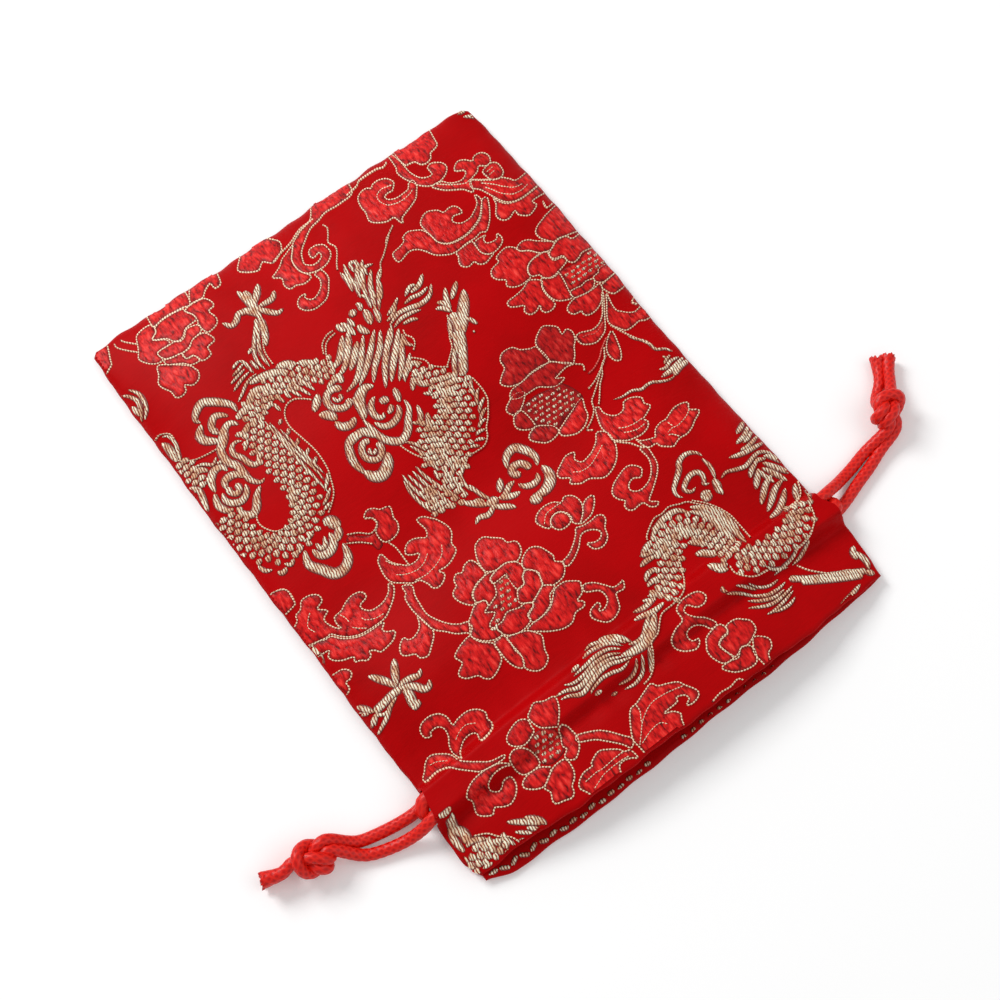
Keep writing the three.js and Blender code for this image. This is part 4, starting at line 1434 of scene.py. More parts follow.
# %% Belly and whiskers
FIGURES["belly_and_whiskers"] = """
cream 1.8 11,-37.5 8,-40 5,-43.5 3,-46.5
cream 1.8 12.5,-40 9.5,-41 7,-43.5 5,-46
cream 1.8 9,-37 6,-39.5 3,-42.5 cream 1.2 13,-37.3 10,-38.5 7.5,-41
thread 12,-42 10.8,-44.6 9.5,-46.4 8,-47.2 6,-47.5
thread 11.5,-44.5 10.2,-47 8,-48.3 6,-48.4
cream 2 -2,-44 -2.8,-46 -3.2,-48.5 cream 1.8 -0.5,-42.3 0.5,-44.5 0.3,-46
band 2.2 -0.8,-48.3 0,-50.3 cream 1.6 2.5,-44 2.8,-47 3.5,-49
cream 1.4 3.8,-46.3 4.5,-48.3 4,-49.3 cream 1.3 1.3,-46 1.5,-49
cream 1.4 -4,-43 -5,-45.5 -5.3,-47.5 cream 1.3 -2.2,-48.5 -3,-50 -2.4,-51
cream 1.3 -20,-47.5 -17.5,-45.5 -14.5,-45
cream 1.4 -20,-44 -18,-41.7 -15,-41 -12,-41.8 -9,-42.3 -5.5,-41
cream 1.2 -19,-43.8 -16.5,-43.3 -14,-43.8 -11.5,-43.5
cream 1.2 -14,-39.7 -11.5,-40.5 -8.5,-40.7 -6,-39.8
cream 1.1 -12,-38 -10.5,-39 -8,-39.3 cream 1.2 -17,-46 -15.5,-46.5 -13,-45
cream 1.1 -11.5,-46 -9.5,-44.7 -6.5,-43.5
cream 1.1 -10,-44.5 -7.5,-42.8 -5.5,-42.3
"""

# %% [markdown]
# Right of the middle: the foot of the main dragon, five spread claws on a thin leg.

# %% Main dragon claw
FIGURES["main_dragon_claw"] = """
cream 1.6 12,-61 13.7,-60.8 15,-62 16.5,-64 17.5,-66
cream 1.6 11,-66.5 12.5,-65 14.5,-64.9 16.5,-65.2
cream 1.8 13,-70.5 14.5,-68.8 16,-67.3 17.5,-66
cream 2.6 17.5,-64.5 17.3,-68 16.8,-71
cream 1.5 17.8,-66 18,-69.5 18.3,-72 cream 2 17.8,-62 18,-64 19.5,-66 22,-66.5
cream 1.8 21,-55 19.5,-58 18.3,-61 18,-63.5
cream 1.3 21.5,-58 20,-60.5 19,-63
"""

# %% [markdown]
# Lower right corner: a peony in full view, a leaf in the corner and another cut by the closed end.

# %% Lower right peony
FIGURES["lower_right_peony"] = """
float 26.3,-69.3 27,-67.7 29,-67 30.3,-67.3 30.8,-70 30.3,-71.3 30.3,-73.3 31.3,-75.3 29,-76 26,-75.5
24.8,-73.7 25,-72.2 26.7,-71.7
float 30,-64.3 32.3,-63.7 32.7,-61.7 34.7,-61.3 35.7,-62 36.2,-64 38,-64.3 38.2,-66 36,-66.3 34,-67.7
31.3,-67.7 30.2,-66.3
float 35.7,-62 38,-62.2 39.3,-63.7 41.3,-65 42.7,-66 42.5,-67.3 40.7,-66.7 38.3,-66.3 38,-64.3 36.2,-63.8
float 38,-61 37.7,-59.7 38.7,-58 40.7,-57.5 42.2,-58.7 42.8,-57.3 44.3,-56.7 45.7,-57.3 45.8,-59.3
46.8,-61.3 47,-63 45.8,-64.7 44.7,-67 42.7,-66 40.3,-64 38.3,-62
float 31.3,-68.3 34,-67.7 36,-66.5 38.3,-66.3 41,-67 42.3,-67.7 42.7,-70 39.3,-70 38,-70 36.7,-69.2
35.3,-69.5 33.7,-71 30.8,-70.2
float 30.5,-71.7 33.7,-71.3 35.3,-70 36.7,-69.5 38,-70.3 39,-72 41.7,-73.7 40,-75 39.3,-76.3 36,-76.8
31.7,-76.3 31.3,-75.3 30.3,-73.3
float 39.3,-70.2 42.7,-70 42.7,-67.7 44.3,-67.7 46,-69 47.2,-71.3 46.3,-73 45.3,-75 44.3,-77 41.7,-77.7
39.8,-77.2 40,-75 41.8,-73.7 39.2,-71.7
float 29,-76.2 31.3,-76.5 36,-77 39.3,-76.5 39.8,-77.3 38,-78.5 29.3,-78.5
float 19.5,-78.3 20,-76.7 22,-76 22.3,-77.8 24.3,-77 26,-75.7 28.7,-76 29,-76.8 24.7,-78.5
thread 45.3,-75 47.3,-77.3 48,-78.6 thread 46.3,-73 48.3,-75.3 49.7,-77.3 49.7,-78.6
float 51.3,-78.7 52.7,-75.7 54.3,-73.7 56.5,-71.7 57,-78.7
"""

# %% [markdown]
# Right of the middle: the lowest part of the body, and the leg that hangs from it.

# %% Lower body and leg
FIGURES["lower_body_and_leg"] = """
scales 6 12,-40.5 17,-42.5 22,-44.5 27,-45 32,-43.5 35,-41.5
cream 2.2 18,-46.5 20,-48 22.5,-49 cream 2.2 20.5,-46 23.5,-48 27,-49 30,-49.3
cream 2 26,-44.5 29,-46.7 31.5,-46.3 33.5,-44.7
cream 1.8 32,-44.7 35,-44.3 37.5,-43.8
cream 1.3 28,-42 31,-41.3 cream 1.6 14,-43.5 16,-45.5 18,-46.8
thread 22.5,-50 22.2,-54 20.5,-57.5 19,-60 18.3,-62.5
cream 1.1 23.5,-50 23.3,-54 22,-57 20,-60
cream 1.1 24.8,-50 25,-53.5 23.7,-56.5 21.5,-59.5 19.7,-62
cream 1 26,-51 26.3,-54.5 cream 1 27.5,-51 27.8,-55 29,-56
cream 0.9 27,-50.5 30,-50 33,-48 34.7,-47
cream 0.9 28,-52 31,-51.3 34,-50 cream 0.9 28.5,-53.3 31,-52.7 33.5,-52
cream 0.9 28,-54.7 30,-54 32,-53.5 cream 0.9 28.3,-56 30,-55.5 31,-55
cream 1 24,-57 25.7,-56 cream 1.6 19.5,-66 21.3,-66.7 23,-65.3 24.7,-65 26,-67
"""

# %% [markdown]
# Right: the lowest cloud, and two claws at the seam.

# %% Lower right cloud
FIGURES["lower_right_cloud"] = """
cream 2.2 36.2,-45 36.3,-47.3 38,-49.5 40,-51.3 41.7,-52.2 43.7,-51.3 45.3,-49.5 44.7,-48
cream 2.2 43.3,-41 45,-42.3 46.5,-43.7 46.7,-45.5 44.8,-47.7
cream 1.8 38.5,-45.3 39.5,-46.5 41.3,-47.4 43,-46 43.5,-44.3 42.5,-42.8
cream 1.2 42.7,-43.5 43.3,-45.2 cream 1.8 37.7,-42 39.3,-43.7 41.3,-43 42.5,-41 44.5,-38.7
cream 1 54,-42 53,-45 52.3,-47.5 52.7,-50 54,-50.7
cream 2 54.5,-43 54.3,-47 54.8,-49.5 thread 51.9,-48.5 52.1,-50.3 54,-51.5 55.7,-50.9
cream 1.2 54.7,-57 53,-59 52.2,-61.5 52.3,-64 53.7,-66.3
cream 1.2 55.5,-57 54,-60 53.5,-62.5 54.5,-64.7 56,-66
cream 1.3 55,-58.5 55.2,-62 cream 1 56,-61 56.3,-63
"""

# %% [markdown]
# Left edge: a peony that the side seam cuts in half, with three leaves above it. The dashes are its seeds.

# %% Left peony
FIGURES["left_peony"] = """
float -51,-16 -49,-13 -47.3,-10.7 -45.3,-8 -43.7,-7 -41.5,-6.5 -39.7,-7.2 -38.4,-8.5 -38.5,-10.6 -40,-10.9
-41.5,-10.2 -43,-9.7 -45,-10 -47,-11.3 -48.7,-13.3 -50.3,-15.7
vein -46,-9.7 -44,-8.8 -42.3,-8.6 -41,-9.3 -39.5,-9.6
float -46.2,-6.5 -45.3,-3 -44.3,-0.7 -43,0.7 -41.8,-0.3 -41.7,-2.3 -42.5,-4 -44.3,-5.7
float -56,-4 -54.7,-3.8 -53,-4.6 -51,-4.4 -49,-4.6 -48,-6 -47,-8.3 -47.7,-10.3 -50,-13.3 -51.5,-15.3
-50.7,-12.3 -50.5,-10.3 -51.2,-9.3 -52.3,-8 -53.7,-7.2 -54.7,-7.3 -55.3,-8 -56,-7
float -56,-15 -55,-14.3 -53.8,-14 -52.6,-14.4 -51.9,-15.7 -51.7,-17.5 -53,-18 -56,-18.3
float -51.7,-17.3 -50,-15 -48,-13.7 -46,-13.2 -44.3,-13.5 -43.7,-14.5 -43.8,-15.3 -42,-15.7 -41.3,-17
-41.7,-18 -43,-18.7 -44.7,-19 -46.3,-18.7 -48.7,-18.3 -50.5,-18.3 -51.7,-18.5
float -56,-19 -54,-18.2 -52.4,-18.4 -51.5,-19.5 -51.7,-20.7 -53.5,-21 -54.5,-21.8 -56,-21.3
float -51.5,-20 -50.3,-18.7 -48.3,-18.3 -46,-18.7 -44.7,-19.3 -44.8,-21 -46.7,-21 -48,-20.7 -49.7,-21
-51.3,-20.5
float -44.3,-19.6 -42.7,-20 -41,-21.2 -40.3,-23 -40.3,-25 -40.8,-27 -42,-28.3 -43.5,-27 -45,-26.7 -46,-27
-45.8,-25 -45,-22
float -40.2,-21 -38.8,-20 -37,-20.3 -36.5,-21.5 -37,-22.7 -35.3,-22 -33.7,-22.2 -33.1,-23.7 -34,-25
-32.3,-26 -31.1,-27 -31.5,-28.3 -34,-28.5 -36.7,-28.9 -38.7,-29.8 -40,-29.3 -41.5,-27.7 -40.4,-26.3 -40,-24
float -40,-30.3 -38.7,-30 -36.7,-30 -35,-30.7 -34,-32 -34.8,-33.3 -33.3,-34.7 -32.8,-36.3 -33.7,-37.7
-35.3,-38.2 -36.5,-38.5 -36.7,-39.7 -38.3,-40.3 -40.3,-40.5 -41.8,-39.3 -42.3,-37.7 -44,-36.3 -45.3,-34.7
-45.7,-33.8 -43.3,-33.8 -41.3,-33 -40.3,-31.7
float -46.3,-27.3 -44.3,-27 -42.3,-27.8 -42,-29.3 -40.3,-30.3 -40.5,-32 -41.7,-33.3 -43.7,-33.9 -45.7,-34
-47.3,-33.3 -47,-31.5 -47.3,-30.3 -49.3,-29.8 -49.6,-28.4 -48,-27.7
float -56,-27 -54.3,-27.8 -52.5,-27.2 -50.7,-26.9 -49.7,-28 -49.6,-30 -47.5,-30.7 -47.2,-32.3 -48.7,-33.3
-50.3,-34 -52,-34.3 -53.7,-33.7 -54.7,-32.3 -56.3,-32.3
float -56.7,-33 -55,-32.7 -53.7,-34 -52,-34.5 -50.3,-34.5 -49.2,-36 -48.4,-37.5 -48.5,-39.3 -50,-40.5
-52.3,-41.3 -54,-41.8 -55.3,-42.7 -56.8,-42.7
float -50.3,-34.4 -49,-33.3 -47.3,-33.4 -45.5,-34.3 -44.2,-36.3 -42.4,-37.5 -42.3,-38.7 -44,-39.4
-45.7,-38.9 -47.2,-37.3 -48.7,-36
seeds -56,-21.6 -51.5,-21.2 -45.4,-21.3 -45.9,-24.5 -46.4,-27 -51,-26.6 -54.5,-27.4 -56,-26.8
"""

# %% [markdown]
# Left of the middle: the lower half of a peony, with painted shade over its petals and seeds, a thin stem,
# and one claw of the dragon.

# %% Shaded peony and claw
FIGURES["dark_peony_and_claw"] = """
float 0.65 -34,-5.7 -35.3,-7 -36.7,-9 -38,-10.3 -38.7,-12.3 -38,-13.7 -36.4,-13.3 -36.7,-15.3 -35.7,-16.7
-34,-17.8 -32,-17 -30.3,-15.7 -29.7,-14.3 -29.5,-12 -29.8,-9.3 -30.7,-8.3 -32,-6.7 -33.7,-5.5
float 0.65 -29.7,-9.7 -27,-9.8 -24,-9.8 -21.7,-9.2 -19.7,-9.5 -18,-10.3 -17,-12 -18.5,-13.5 -20.2,-14.7
-20.5,-16.7 -21.7,-18 -23.3,-18.3 -25,-17.8 -26,-16.3 -28,-15 -29.6,-14.2
float 0.65 -33.7,-5.5 -31.7,-5.8 -29,-5.3 -28,-5 -29.7,-3.8 -27,-3.3 -25,-4.5 -23.3,-5.8 -20.5,-6 -18,-6.3
-16.5,-7.5 -18,-9 -20.7,-9.2 -24,-9.6 -27,-9.5 -29.7,-9.2 -31.3,-7.8
seeds 0.5 -30,3 -28.5,-3 -25,-3.8 -21,-4.5 -17,-3.5 -17,1.5 -18.5,3 -20.2,5.5 -24,4.4
float -29.7,3 -28.7,5.3 -28.2,7 -27,8.2 -25.3,9.1 -23.3,9.3 -21.7,8.7 -20.2,7.6 -20.3,6.3 -22,5.5 -24,4.7
-26,4 -28,3.2 thread -51,2 -50,-0.3 -49,-2.3 -48,-4.7 -47.2,-7 -46.8,-8
thread -42,-4.3 -40,-1.7 -37.3,0 -34.7,1.3 -32.3,2
thread -34.5,-2.3 -35.2,-3.8 -33.7,-5.3
thread -55.3,-8.3 -54.7,-9.5 -55.7,-10.3
vein -44,-6 -41.3,-4.3 -39.3,-2.7 -36.7,-1.5 -34.7,-1.2
cream 2.8 -25.3,-37.8 -23.3,-35 -21.3,-32.7 -19.3,-30 -18,-28
cream 1.2 -22.3,-28 -21.7,-30 -21,-31.3
cream 0.8 -20.7,-26.7 -20,-27.3 cream 1.4 -25.3,-40.7 -23.7,-39.3 -21.3,-37.3
cream 1.4 -22,-41 -20.3,-38 -19,-34.7
"""

# %% [markdown]
# Middle of the front: the humped back of the main dragon, covered in scales, with a beaded fin.

# %% Main dragon body
FIGURES["main_dragon_body"] = """
scales 9 5,-3 1,-7 -3,-11.5 -6.5,-16.5 -8.5,-21
scales 6 7,-5 5.3,-8.5 3.6,-11.5 2,-14
scales 4.6 -9,-19.5 -7,-21.5 -5,-24.5 -3,-27
thread -12.7,-17.5 -12.8,-14 -12.3,-11 -11,-9 -9.5,-7 -7.5,-5 -6.3,-3 -4.3,-1.7 -1.5,-1.7 0,-2 2,-0.5
cream 1 -12.3,-17.5 -10.9,-15.5 -10.2,-13.2
cream 1 -12.3,-14.5 -10.6,-13 -9.4,-11
cream 1 -12,-11.7 -10,-10.6 -8.4,-9 cream 1 -10.7,-9.2 -9,-8.6 -7.4,-7.3
cream 1 -9,-7 -7.3,-6.9 -6,-6 cream 1 -7.2,-4.9 -5.7,-5.3 -4.4,-4.9
cream 1 -5.7,-2.9 -4.4,-3.8 -3.3,-4 cream 1 -3.6,-2.2 -2.3,-3.2 -1.3,-3.4
cream 0.9 -12,-19 -10.6,-17.5 -9.9,-16
thread 8,-7 9.5,-9.5 10.5,-12 11,-14 cream 0.9 6.8,-5.5 8,-9 9.3,-12.5
cream 0.9 7,-9 8,-12 9.7,-14 cream 1.3 -6.5,-14 -4,-14.7 -2,-14 0,-13.7
cream 1.2 -5.5,-17.5 -3.5,-16.5 -1.7,-16
cream 1.3 -8,-15 -7,-17 -5,-19.5 -4,-21.5
cream 1.2 -6.5,-16.5 -5,-18.5 -3.5,-19.5 -2,-20
cream 1.5 1,-17 2,-15 3,-13 3.2,-14.5 cream 1.6 -4,-22 -2.5,-23.5 -1.5,-25.5 0.5,-23.5
cream 1.1 -3.5,-22 -2.5,-20.5 -1,-21.5
cream 1.3 1.8,-20 2.5,-17.5 4,-16 5.5,-17
thread -6.7,-26 -6.7,-28 -5.5,-29.7 -4.2,-31
cream 1.2 -6,-26 -3.5,-26 -1.5,-27 cream 1.4 -5.7,-28 -3.5,-29.5 -2,-28
cream 1.2 -3.5,-30 -1,-28.5 0.5,-26.5 thread -6,-32 -7.5,-33.5 -7.8,-35 -7,-36.5 -7.3,-38
cream 1.2 -6.7,-33 -5.8,-35 -6.5,-37.5
cream 1.8 3,-28.5 0,-32 -3.5,-35.5 -6.7,-39
cream 1.6 5,-28 2,-32.5 -1,-36 -5,-40.5
cream 1.5 1.5,-27.5 -1.5,-30.5 -4,-34 -6.3,-37
cream 1.6 6.5,-31 3.5,-34.5 0,-37.5 -3,-41.5
cream 1.6 9.5,-32.5 6.5,-34.5 3,-37.5 0,-40.5 -2,-42.5
cream 1.6 13,-33 9.5,-34 6,-37 3,-40.5 1,-43
cream 1.3 0,-27 -2.5,-29.5 -5,-32 cream 1.3 -0.5,-35.5 -3.5,-38 -6,-41
"""

# %% [markdown]
# Left of the body: the arm that reaches down to the first claw.

# %% Main dragon arm
FIGURES["main_dragon_arm"] = """
band 2.3 -11.5,-19.5 -14,-23 -16.3,-26.5 -18.2,-30.5 -19.3,-34.5
cream 1.3 -9.8,-20.5 -12,-23.7 -14,-26.5
cream 1.3 -13.7,-24.5 -15.4,-27.6 -16.5,-30
cream 1.2 -15,-28.5 -16.5,-31.5 -18,-34
thread -9.8,-23.6 -11.8,-25.2 -13.8,-27 -14.8,-29.3 -16.5,-31.8 -18,-34.6
thread -10,-23.2 -8.2,-24.7 -6.7,-26.3
cream 1.3 -19.5,-34.6 -18.2,-36.8 -16.7,-37.7
cream 1.4 -20,-35.5 -19.2,-37.8 -17.9,-38.9
"""

# %% [markdown]
# Right of the body: three clouds, each drawn as a spiral of broad cream bands.

# %% Clouds
FIGURES["clouds"] = """
cream 2 3.3,-23 3.7,-20.5 5.5,-18.3 7.5,-15.8 10,-14.8 12.3,-16.5 13.5,-19 13.8,-22 14,-25
cream 1.8 5.3,-23 6,-21.2 7.7,-20 9.7,-19.7 11.5,-20.6 12.3,-22.6
cream 1.7 9,-23.3 9.9,-22.4 11,-23.3 11.1,-25.2 10,-27 8.3,-28
band 2.2 6.5,-24.7 7.2,-25.8 8.2,-25.3
cream 1.4 6.4,-24 7.4,-22.7 8.6,-22.4 cream 2.6 6.8,-30.3 9,-31.2 11.3,-30 12.3,-28 13,-25.5
cream 1.6 3.4,-27 3.9,-25 4.6,-23 cream 3 14.3,-14.5 16,-12 18.5,-10.5 20.5,-11.5 21.5,-14
cream 2 21.5,-13 22,-17 21,-20.5 19.5,-22.5 17,-23.3
band 1.6 15,-18 14.7,-16.5 15.8,-14.8 17.5,-14.5 19,-16 19,-18 17.5,-19.8 15.8,-19.3
band 1 16,-17 16.8,-16 17.6,-17 16.8,-17.8
cream 2.2 13,-18.5 14.5,-20.5 16,-22.3 18.5,-22 20.5,-21
band 1.8 13.5,-31.5 14.2,-30.3 16,-30.2 17.8,-31.8 18,-34 16.5,-35.6 14.5,-35.5 13.3,-34.3
band 1 14.7,-33.8 14.7,-32.6 16,-32.5 16.3,-34
cream 2.2 12.7,-31 12.5,-28.5 13,-26 14,-24.5
cream 2.2 15,-26.5 17,-25.5 19,-26.5 19.5,-28.5
cream 2.4 18.8,-28.5 19.5,-30.5 21.5,-32.3
cream 2 22,-33.5 20,-35.3 18.5,-37 cream 1.8 12.3,-35.5 12,-38.5
cream 1.4 16,-36.6 14,-37.3 12,-37
"""

# %% [markdown]
# Above the back: a tuft of hair that stands up from the neck.

# %% Tuft
FIGURES["tuft"] = """
cream 1 9,4 10,0 11,-4 11.3,-7.5 cream 1 10.5,4 11.7,0 12.3,-4 12.6,-7
cream 1 12,4 13,0 13.7,-4.5 14,-7 cream 1 13.5,4 14.3,0 15,-4 15,-7.7
cream 1 15,4.5 15.7,1 16,-3 15.5,-6.5 cream 1.2 8,2 6.5,0 4,-2 1,-3.7
cream 1.1 9,1 7,-1.5 5,-3.5 cream 1.1 5,1.5 2.5,-0.7 0.5,-2.5
cream 1 7.5,-3 8,-5.5 cream 1 9,-1 8.5,-4
scales 5 4.5,-3.5 6.5,-0.5 8.3,3 9.3,6
scales 4 12.5,-1 12.8,2 13,5
"""

# %% [markdown]
# Right half: the body comes up as a column, arches over, and goes down at the seam.

# %% Right column
FIGURES["right_column"] = """
scales 7 36,-40 36,-37 36,-33 35.7,-28 35.3,-23 35.8,-18 37.5,-14 41,-11 45,-10 49,-11 52,-14.5 53,-19
53,-24 thread 34,-10.5 32,-12 30,-14 28.7,-17 27.7,-20 27.3,-25 28,-30 28.6,-34 28,-37 26.3,-39 24,-39.3
22,-38 20.5,-36.5 thread 38.5,-17.3 39.5,-14.9 41.3,-13.9 44,-13.7 46.3,-14.5 47.8,-16.9 48,-19 47,-21
cream 0.9 30,-17 30.2,-22 31,-27 31.5,-32 31.8,-38
cream 0.9 29,-19 29.7,-24 30.3,-29 30.8,-35
cream 0.9 31,-14.5 31.4,-20 31.8,-26 32.2,-33 32.5,-39
cream 1 28.2,-19 29.8,-17 31.5,-15.5 cream 1 28,-24 29.5,-22.5
cream 1 28.2,-27 29.7,-25.5 cream 1 28.6,-30.5 30,-29
cream 1 29,-34 30.2,-32.5 cream 1 29,-37 30.4,-36
cream 1 30,-15.5 32,-13.8 34,-12.8 cream 1 32,-12.5 34.5,-11.6
cream 1.2 43,-7.5 45,-7 46.5,-7.7 cream 1.2 46.5,-6.3 48,-5.5 49,-6.7
cream 1.3 49,-5.5 50.5,-5 51.5,-6 cream 1.2 52,-7 53.5,-8 54,-10
cream 1 39,-9.2 41,-8.2 42.5,-8.2 cream 1.6 39.5,-17.5 37.9,-19.6 36.5,-21.6
"""

# %% [markdown]
# Around the arch: one grey cloud above it and two below, with scraps of mane between them.

# %% Right clouds
FIGURES["right_clouds"] = """
cream 2.6 35.5,-2.5 36.5,1 38.7,2.8 41.3,2.5 43,0 44.7,-3 43.5,-6.5
cream 2 34,-6.5 35,-5 36.5,-3.5 cream 3 33.7,-6 35,-8.7 36.5,-8.5
cream 2.2 36.5,-6.5 37.3,-3.7 39.5,-2.5 41.5,-3.3 42,-5.5
cream 1.3 38,-6.5 39,-4.5 40.3,-4.5 40.5,-6.3
cream 2 42.5,-26 44.5,-24.5 46.3,-22 48,-21.2 49.5,-22.5 50,-25
cream 1.8 50.5,-25 52,-25.5 53,-28 52,-31
cream 1.8 45,-28.5 46,-26.5 48,-25.5 50,-26.3 51,-28 50.5,-30
band 1.5 46.7,-30 46.8,-28.3 48,-27.7 49,-29 48.7,-30.5
cream 2 44.5,-30 45,-31.5 46.5,-32.3 48.5,-32 49.3,-30
cream 2 51.8,-31 51,-34 49,-35.8 47,-35.5 46.5,-33.8
cream 2 40.5,-27 42,-26.7 43.5,-28.5 43.8,-31 44,-33.5 45.3,-36 45,-39 43.5,-41 41.5,-43.3 39,-43.5
cream 1.5 38,-35 38.5,-32.5 40,-31 41.3,-32 42,-34.5 43,-36.5 42.3,-38.3 40.7,-38.7 39.5,-38
cream 1.2 38,-37.5 39.3,-36.7 40.5,-35.5
cream 1.6 35.5,-41 37.5,-39.7 39.5,-39.2
cream 1.5 55.7,-28 55,-31 54.5,-34 56,-36
cream 1.4 50,-36.5 51.3,-38 53,-38.5 thread 45.3,-40 48,-40.3 51,-41 53.5,-42.5 54.5,-44
cream 1 46.5,-38.5 48.3,-37.3 50,-38.7 52,-39.5
cream 1 46,-36.5 47.5,-37
scales 4 53,-34.5 53.3,-38 53.8,-42 thread 33.7,-3.5 31.3,-2.2 29.5,-0.5 28,-0.5 26.5,-1.7 26.8,-3.2
28.2,-4.3 thread 30.3,2 32.3,0 35,-1.8
thread 52.3,2 52.2,-1 54.3,-2.3 56,-2.3
cream 1 18.5,-38 19.3,-41 20,-44 cream 1 20,-37.5 21,-40.5 21.8,-43.5
cream 1 22,-38.7 22.8,-41 23.5,-43 cream 1 24,-39.9 24.7,-41.9
cream 1 26,-39.9 26.5,-42.2 cream 1 28,-38.7 28.3,-41.5
"""

# %% [markdown]
# Left, below the channel: a curled leaf, a broad leaf with a rolled edge, and the stems between them.

# %% Left leaves
FIGURES["left_leaves"] = """
float -33.7,22 -33.5,24.7 -33,26.7 -31.7,28.4 -30,29.8 -28,31.2 -25.8,32.8 -27.2,34.2 -26.2,34.8 -25,34
-24.4,32.4 -23,32.2 -21.5,32.3 -20.5,31.4 -20.6,30.2 -21.4,29.4 -20.4,28 -20.2,26.3 -21.7,24.7 -24,23.7
-26.7,23 -28.3,23.6 -29.4,25.2 -28.9,26.2 -27.8,27 -26.3,26.2 -24.7,26.7 -24,28 -25,29.2 -26.7,29.5 -29,28.8
-30.7,27.4 -31.8,25.8 -32.3,24 -32.2,21.5
float -49,22 -48.7,22.8 -46.7,23.7 -45,24.7 -43,25.2 -41.3,25 -40,25.3 -38.7,25.7 -37.3,24.7 -36.3,23.7
-36,22.7 -33.8,22.2 -33,19 -33.7,20 -35.3,20.8 -37,21.3 -37.3,20.7 -38.3,19.7 -40,19.2 -41.7,19.3 -43.3,18.7
-45.3,18.2 -47.3,18.5 -48.3,19.3 -47.5,20.7
thread -47.5,20.7 -45.7,21.7 -43.7,22.2 -42.3,22.3 -41.3,22 -39.7,22.3
thread -41.3,24.7 -40.3,23.3 -39.2,22.8
thread -41.7,21.7 -41.3,20
float -37.7,16 -39.3,15.3 -41,14.3 -40.3,13 -40.7,11.7 -40,10.7 -38.3,9.8 -36.7,9.8 -35.5,11.2 -33.7,11.5
-32.3,10.7 -31.3,9 -31.4,7.3 -30.5,7 -29.5,9 -28.6,11.5 -28.7,14 -28.7,15.7 -30,17 -31.3,18 -33,18.5
-35,18.8 -37,18.3 -38,17.2 thread -37,17.2 -35,17.3 -33.3,16.8 -31.7,16
thread -37.5,15.8 -35,15.7 -33,15.2 -31.5,14.3
thread -33.3,22 -32.3,20.7 -31.3,19 -30,17.7 -28.7,16 -28.7,13.7
thread -31.7,6.7 -33.3,5 -35.3,2.7 -37.3,1 -38.7,-1 -41,-2.3
thread -25.7,9.8 -28,8.7 -30,7 -31,5 -32.3,4 -34.7,2.3 -36.7,0.7 -38.7,-1
thread -26.7,11 -25.3,10
"""

# %% [markdown]
# Left, above the leaves: loose strands of the second dragon's hair, a curled cloud and the far claw.

# %% Second dragon hair
FIGURES["second_dragon_hair"] = """
cream 1.2 -55.3,42 -54.3,40 -52.7,39 -50.7,39.3 -48.3,39.8 -46,39 -44,38.2 -42,38.7
cream 1.3 -55.5,37.8 -52,37.3 -49.3,36.8 -46.7,35.8
cream 1.2 -55.5,35.7 -52.3,36.3 -50,36
cream 1.3 -55.3,32.3 -53.3,33.7 -50.3,34.2
cream 1.2 -55.5,33.7 -53.3,34.8 -51.7,35
cream 1.3 -55.2,30.8 -53.8,31.7 -52,32.3
cream 1.2 -53.3,41.3 -51.3,40.3 -50,41.3
cream 1.3 -42.3,31.7 -41.8,30.3 -40.3,29.2 -38.7,29 -37,29.7 -36,31 -34,32.5 -32,34 -31.5,35.7 -32.3,37
cream 1.3 -39.3,38 -38,37.3 -38.7,36.7 -39.3,35.3 -38.7,34 -37,33.7 -35,34.5 -33.7,35.7 -34.7,37 -36.2,36.7
cream 1.1 -41,38 -42,35 -41.8,32 cream 1.2 -38.3,39.7 -36.7,39 -35.3,40
cream 1.1 -40.3,40 -40,41.3 -39.7,42 cream 0.8 -51,11.7 -49,12 -46.7,11 -45.3,10 -43.7,9.7 -42,9.8 -40,8.7
-37.3,8.5 -35.2,7.8 band 1.4 -55.2,10.7 -53.3,10.8 -51.3,11.3 -50.3,11.8
cream 1.5 -55,9.3 -52.3,10 -50,10.3 -47.7,10.2
cream 1.1 -54.3,8.7 -52,8.3 -50,9 -48.5,8.3
cream 0.9 -53,7 -51.7,7.3 -50.3,8 cream 0.6 -52,7 -51.2,6.2
cream 0.8 -54,6.7 -53,5 -51.3,3.7 -51,1.7 -50.3,0 -49,-1.7 -48.3,-3
thread -35.3,42 -33.7,40 -32.3,38.3 -30.7,37.7 -28.3,36.7 -26,37 -24,36.8 -22,37.7 -20,39 -19.3,40
"""

# %% [markdown]
# Middle, below the channel: a small flower on a rolled leaf, whose stem joins the big peony.

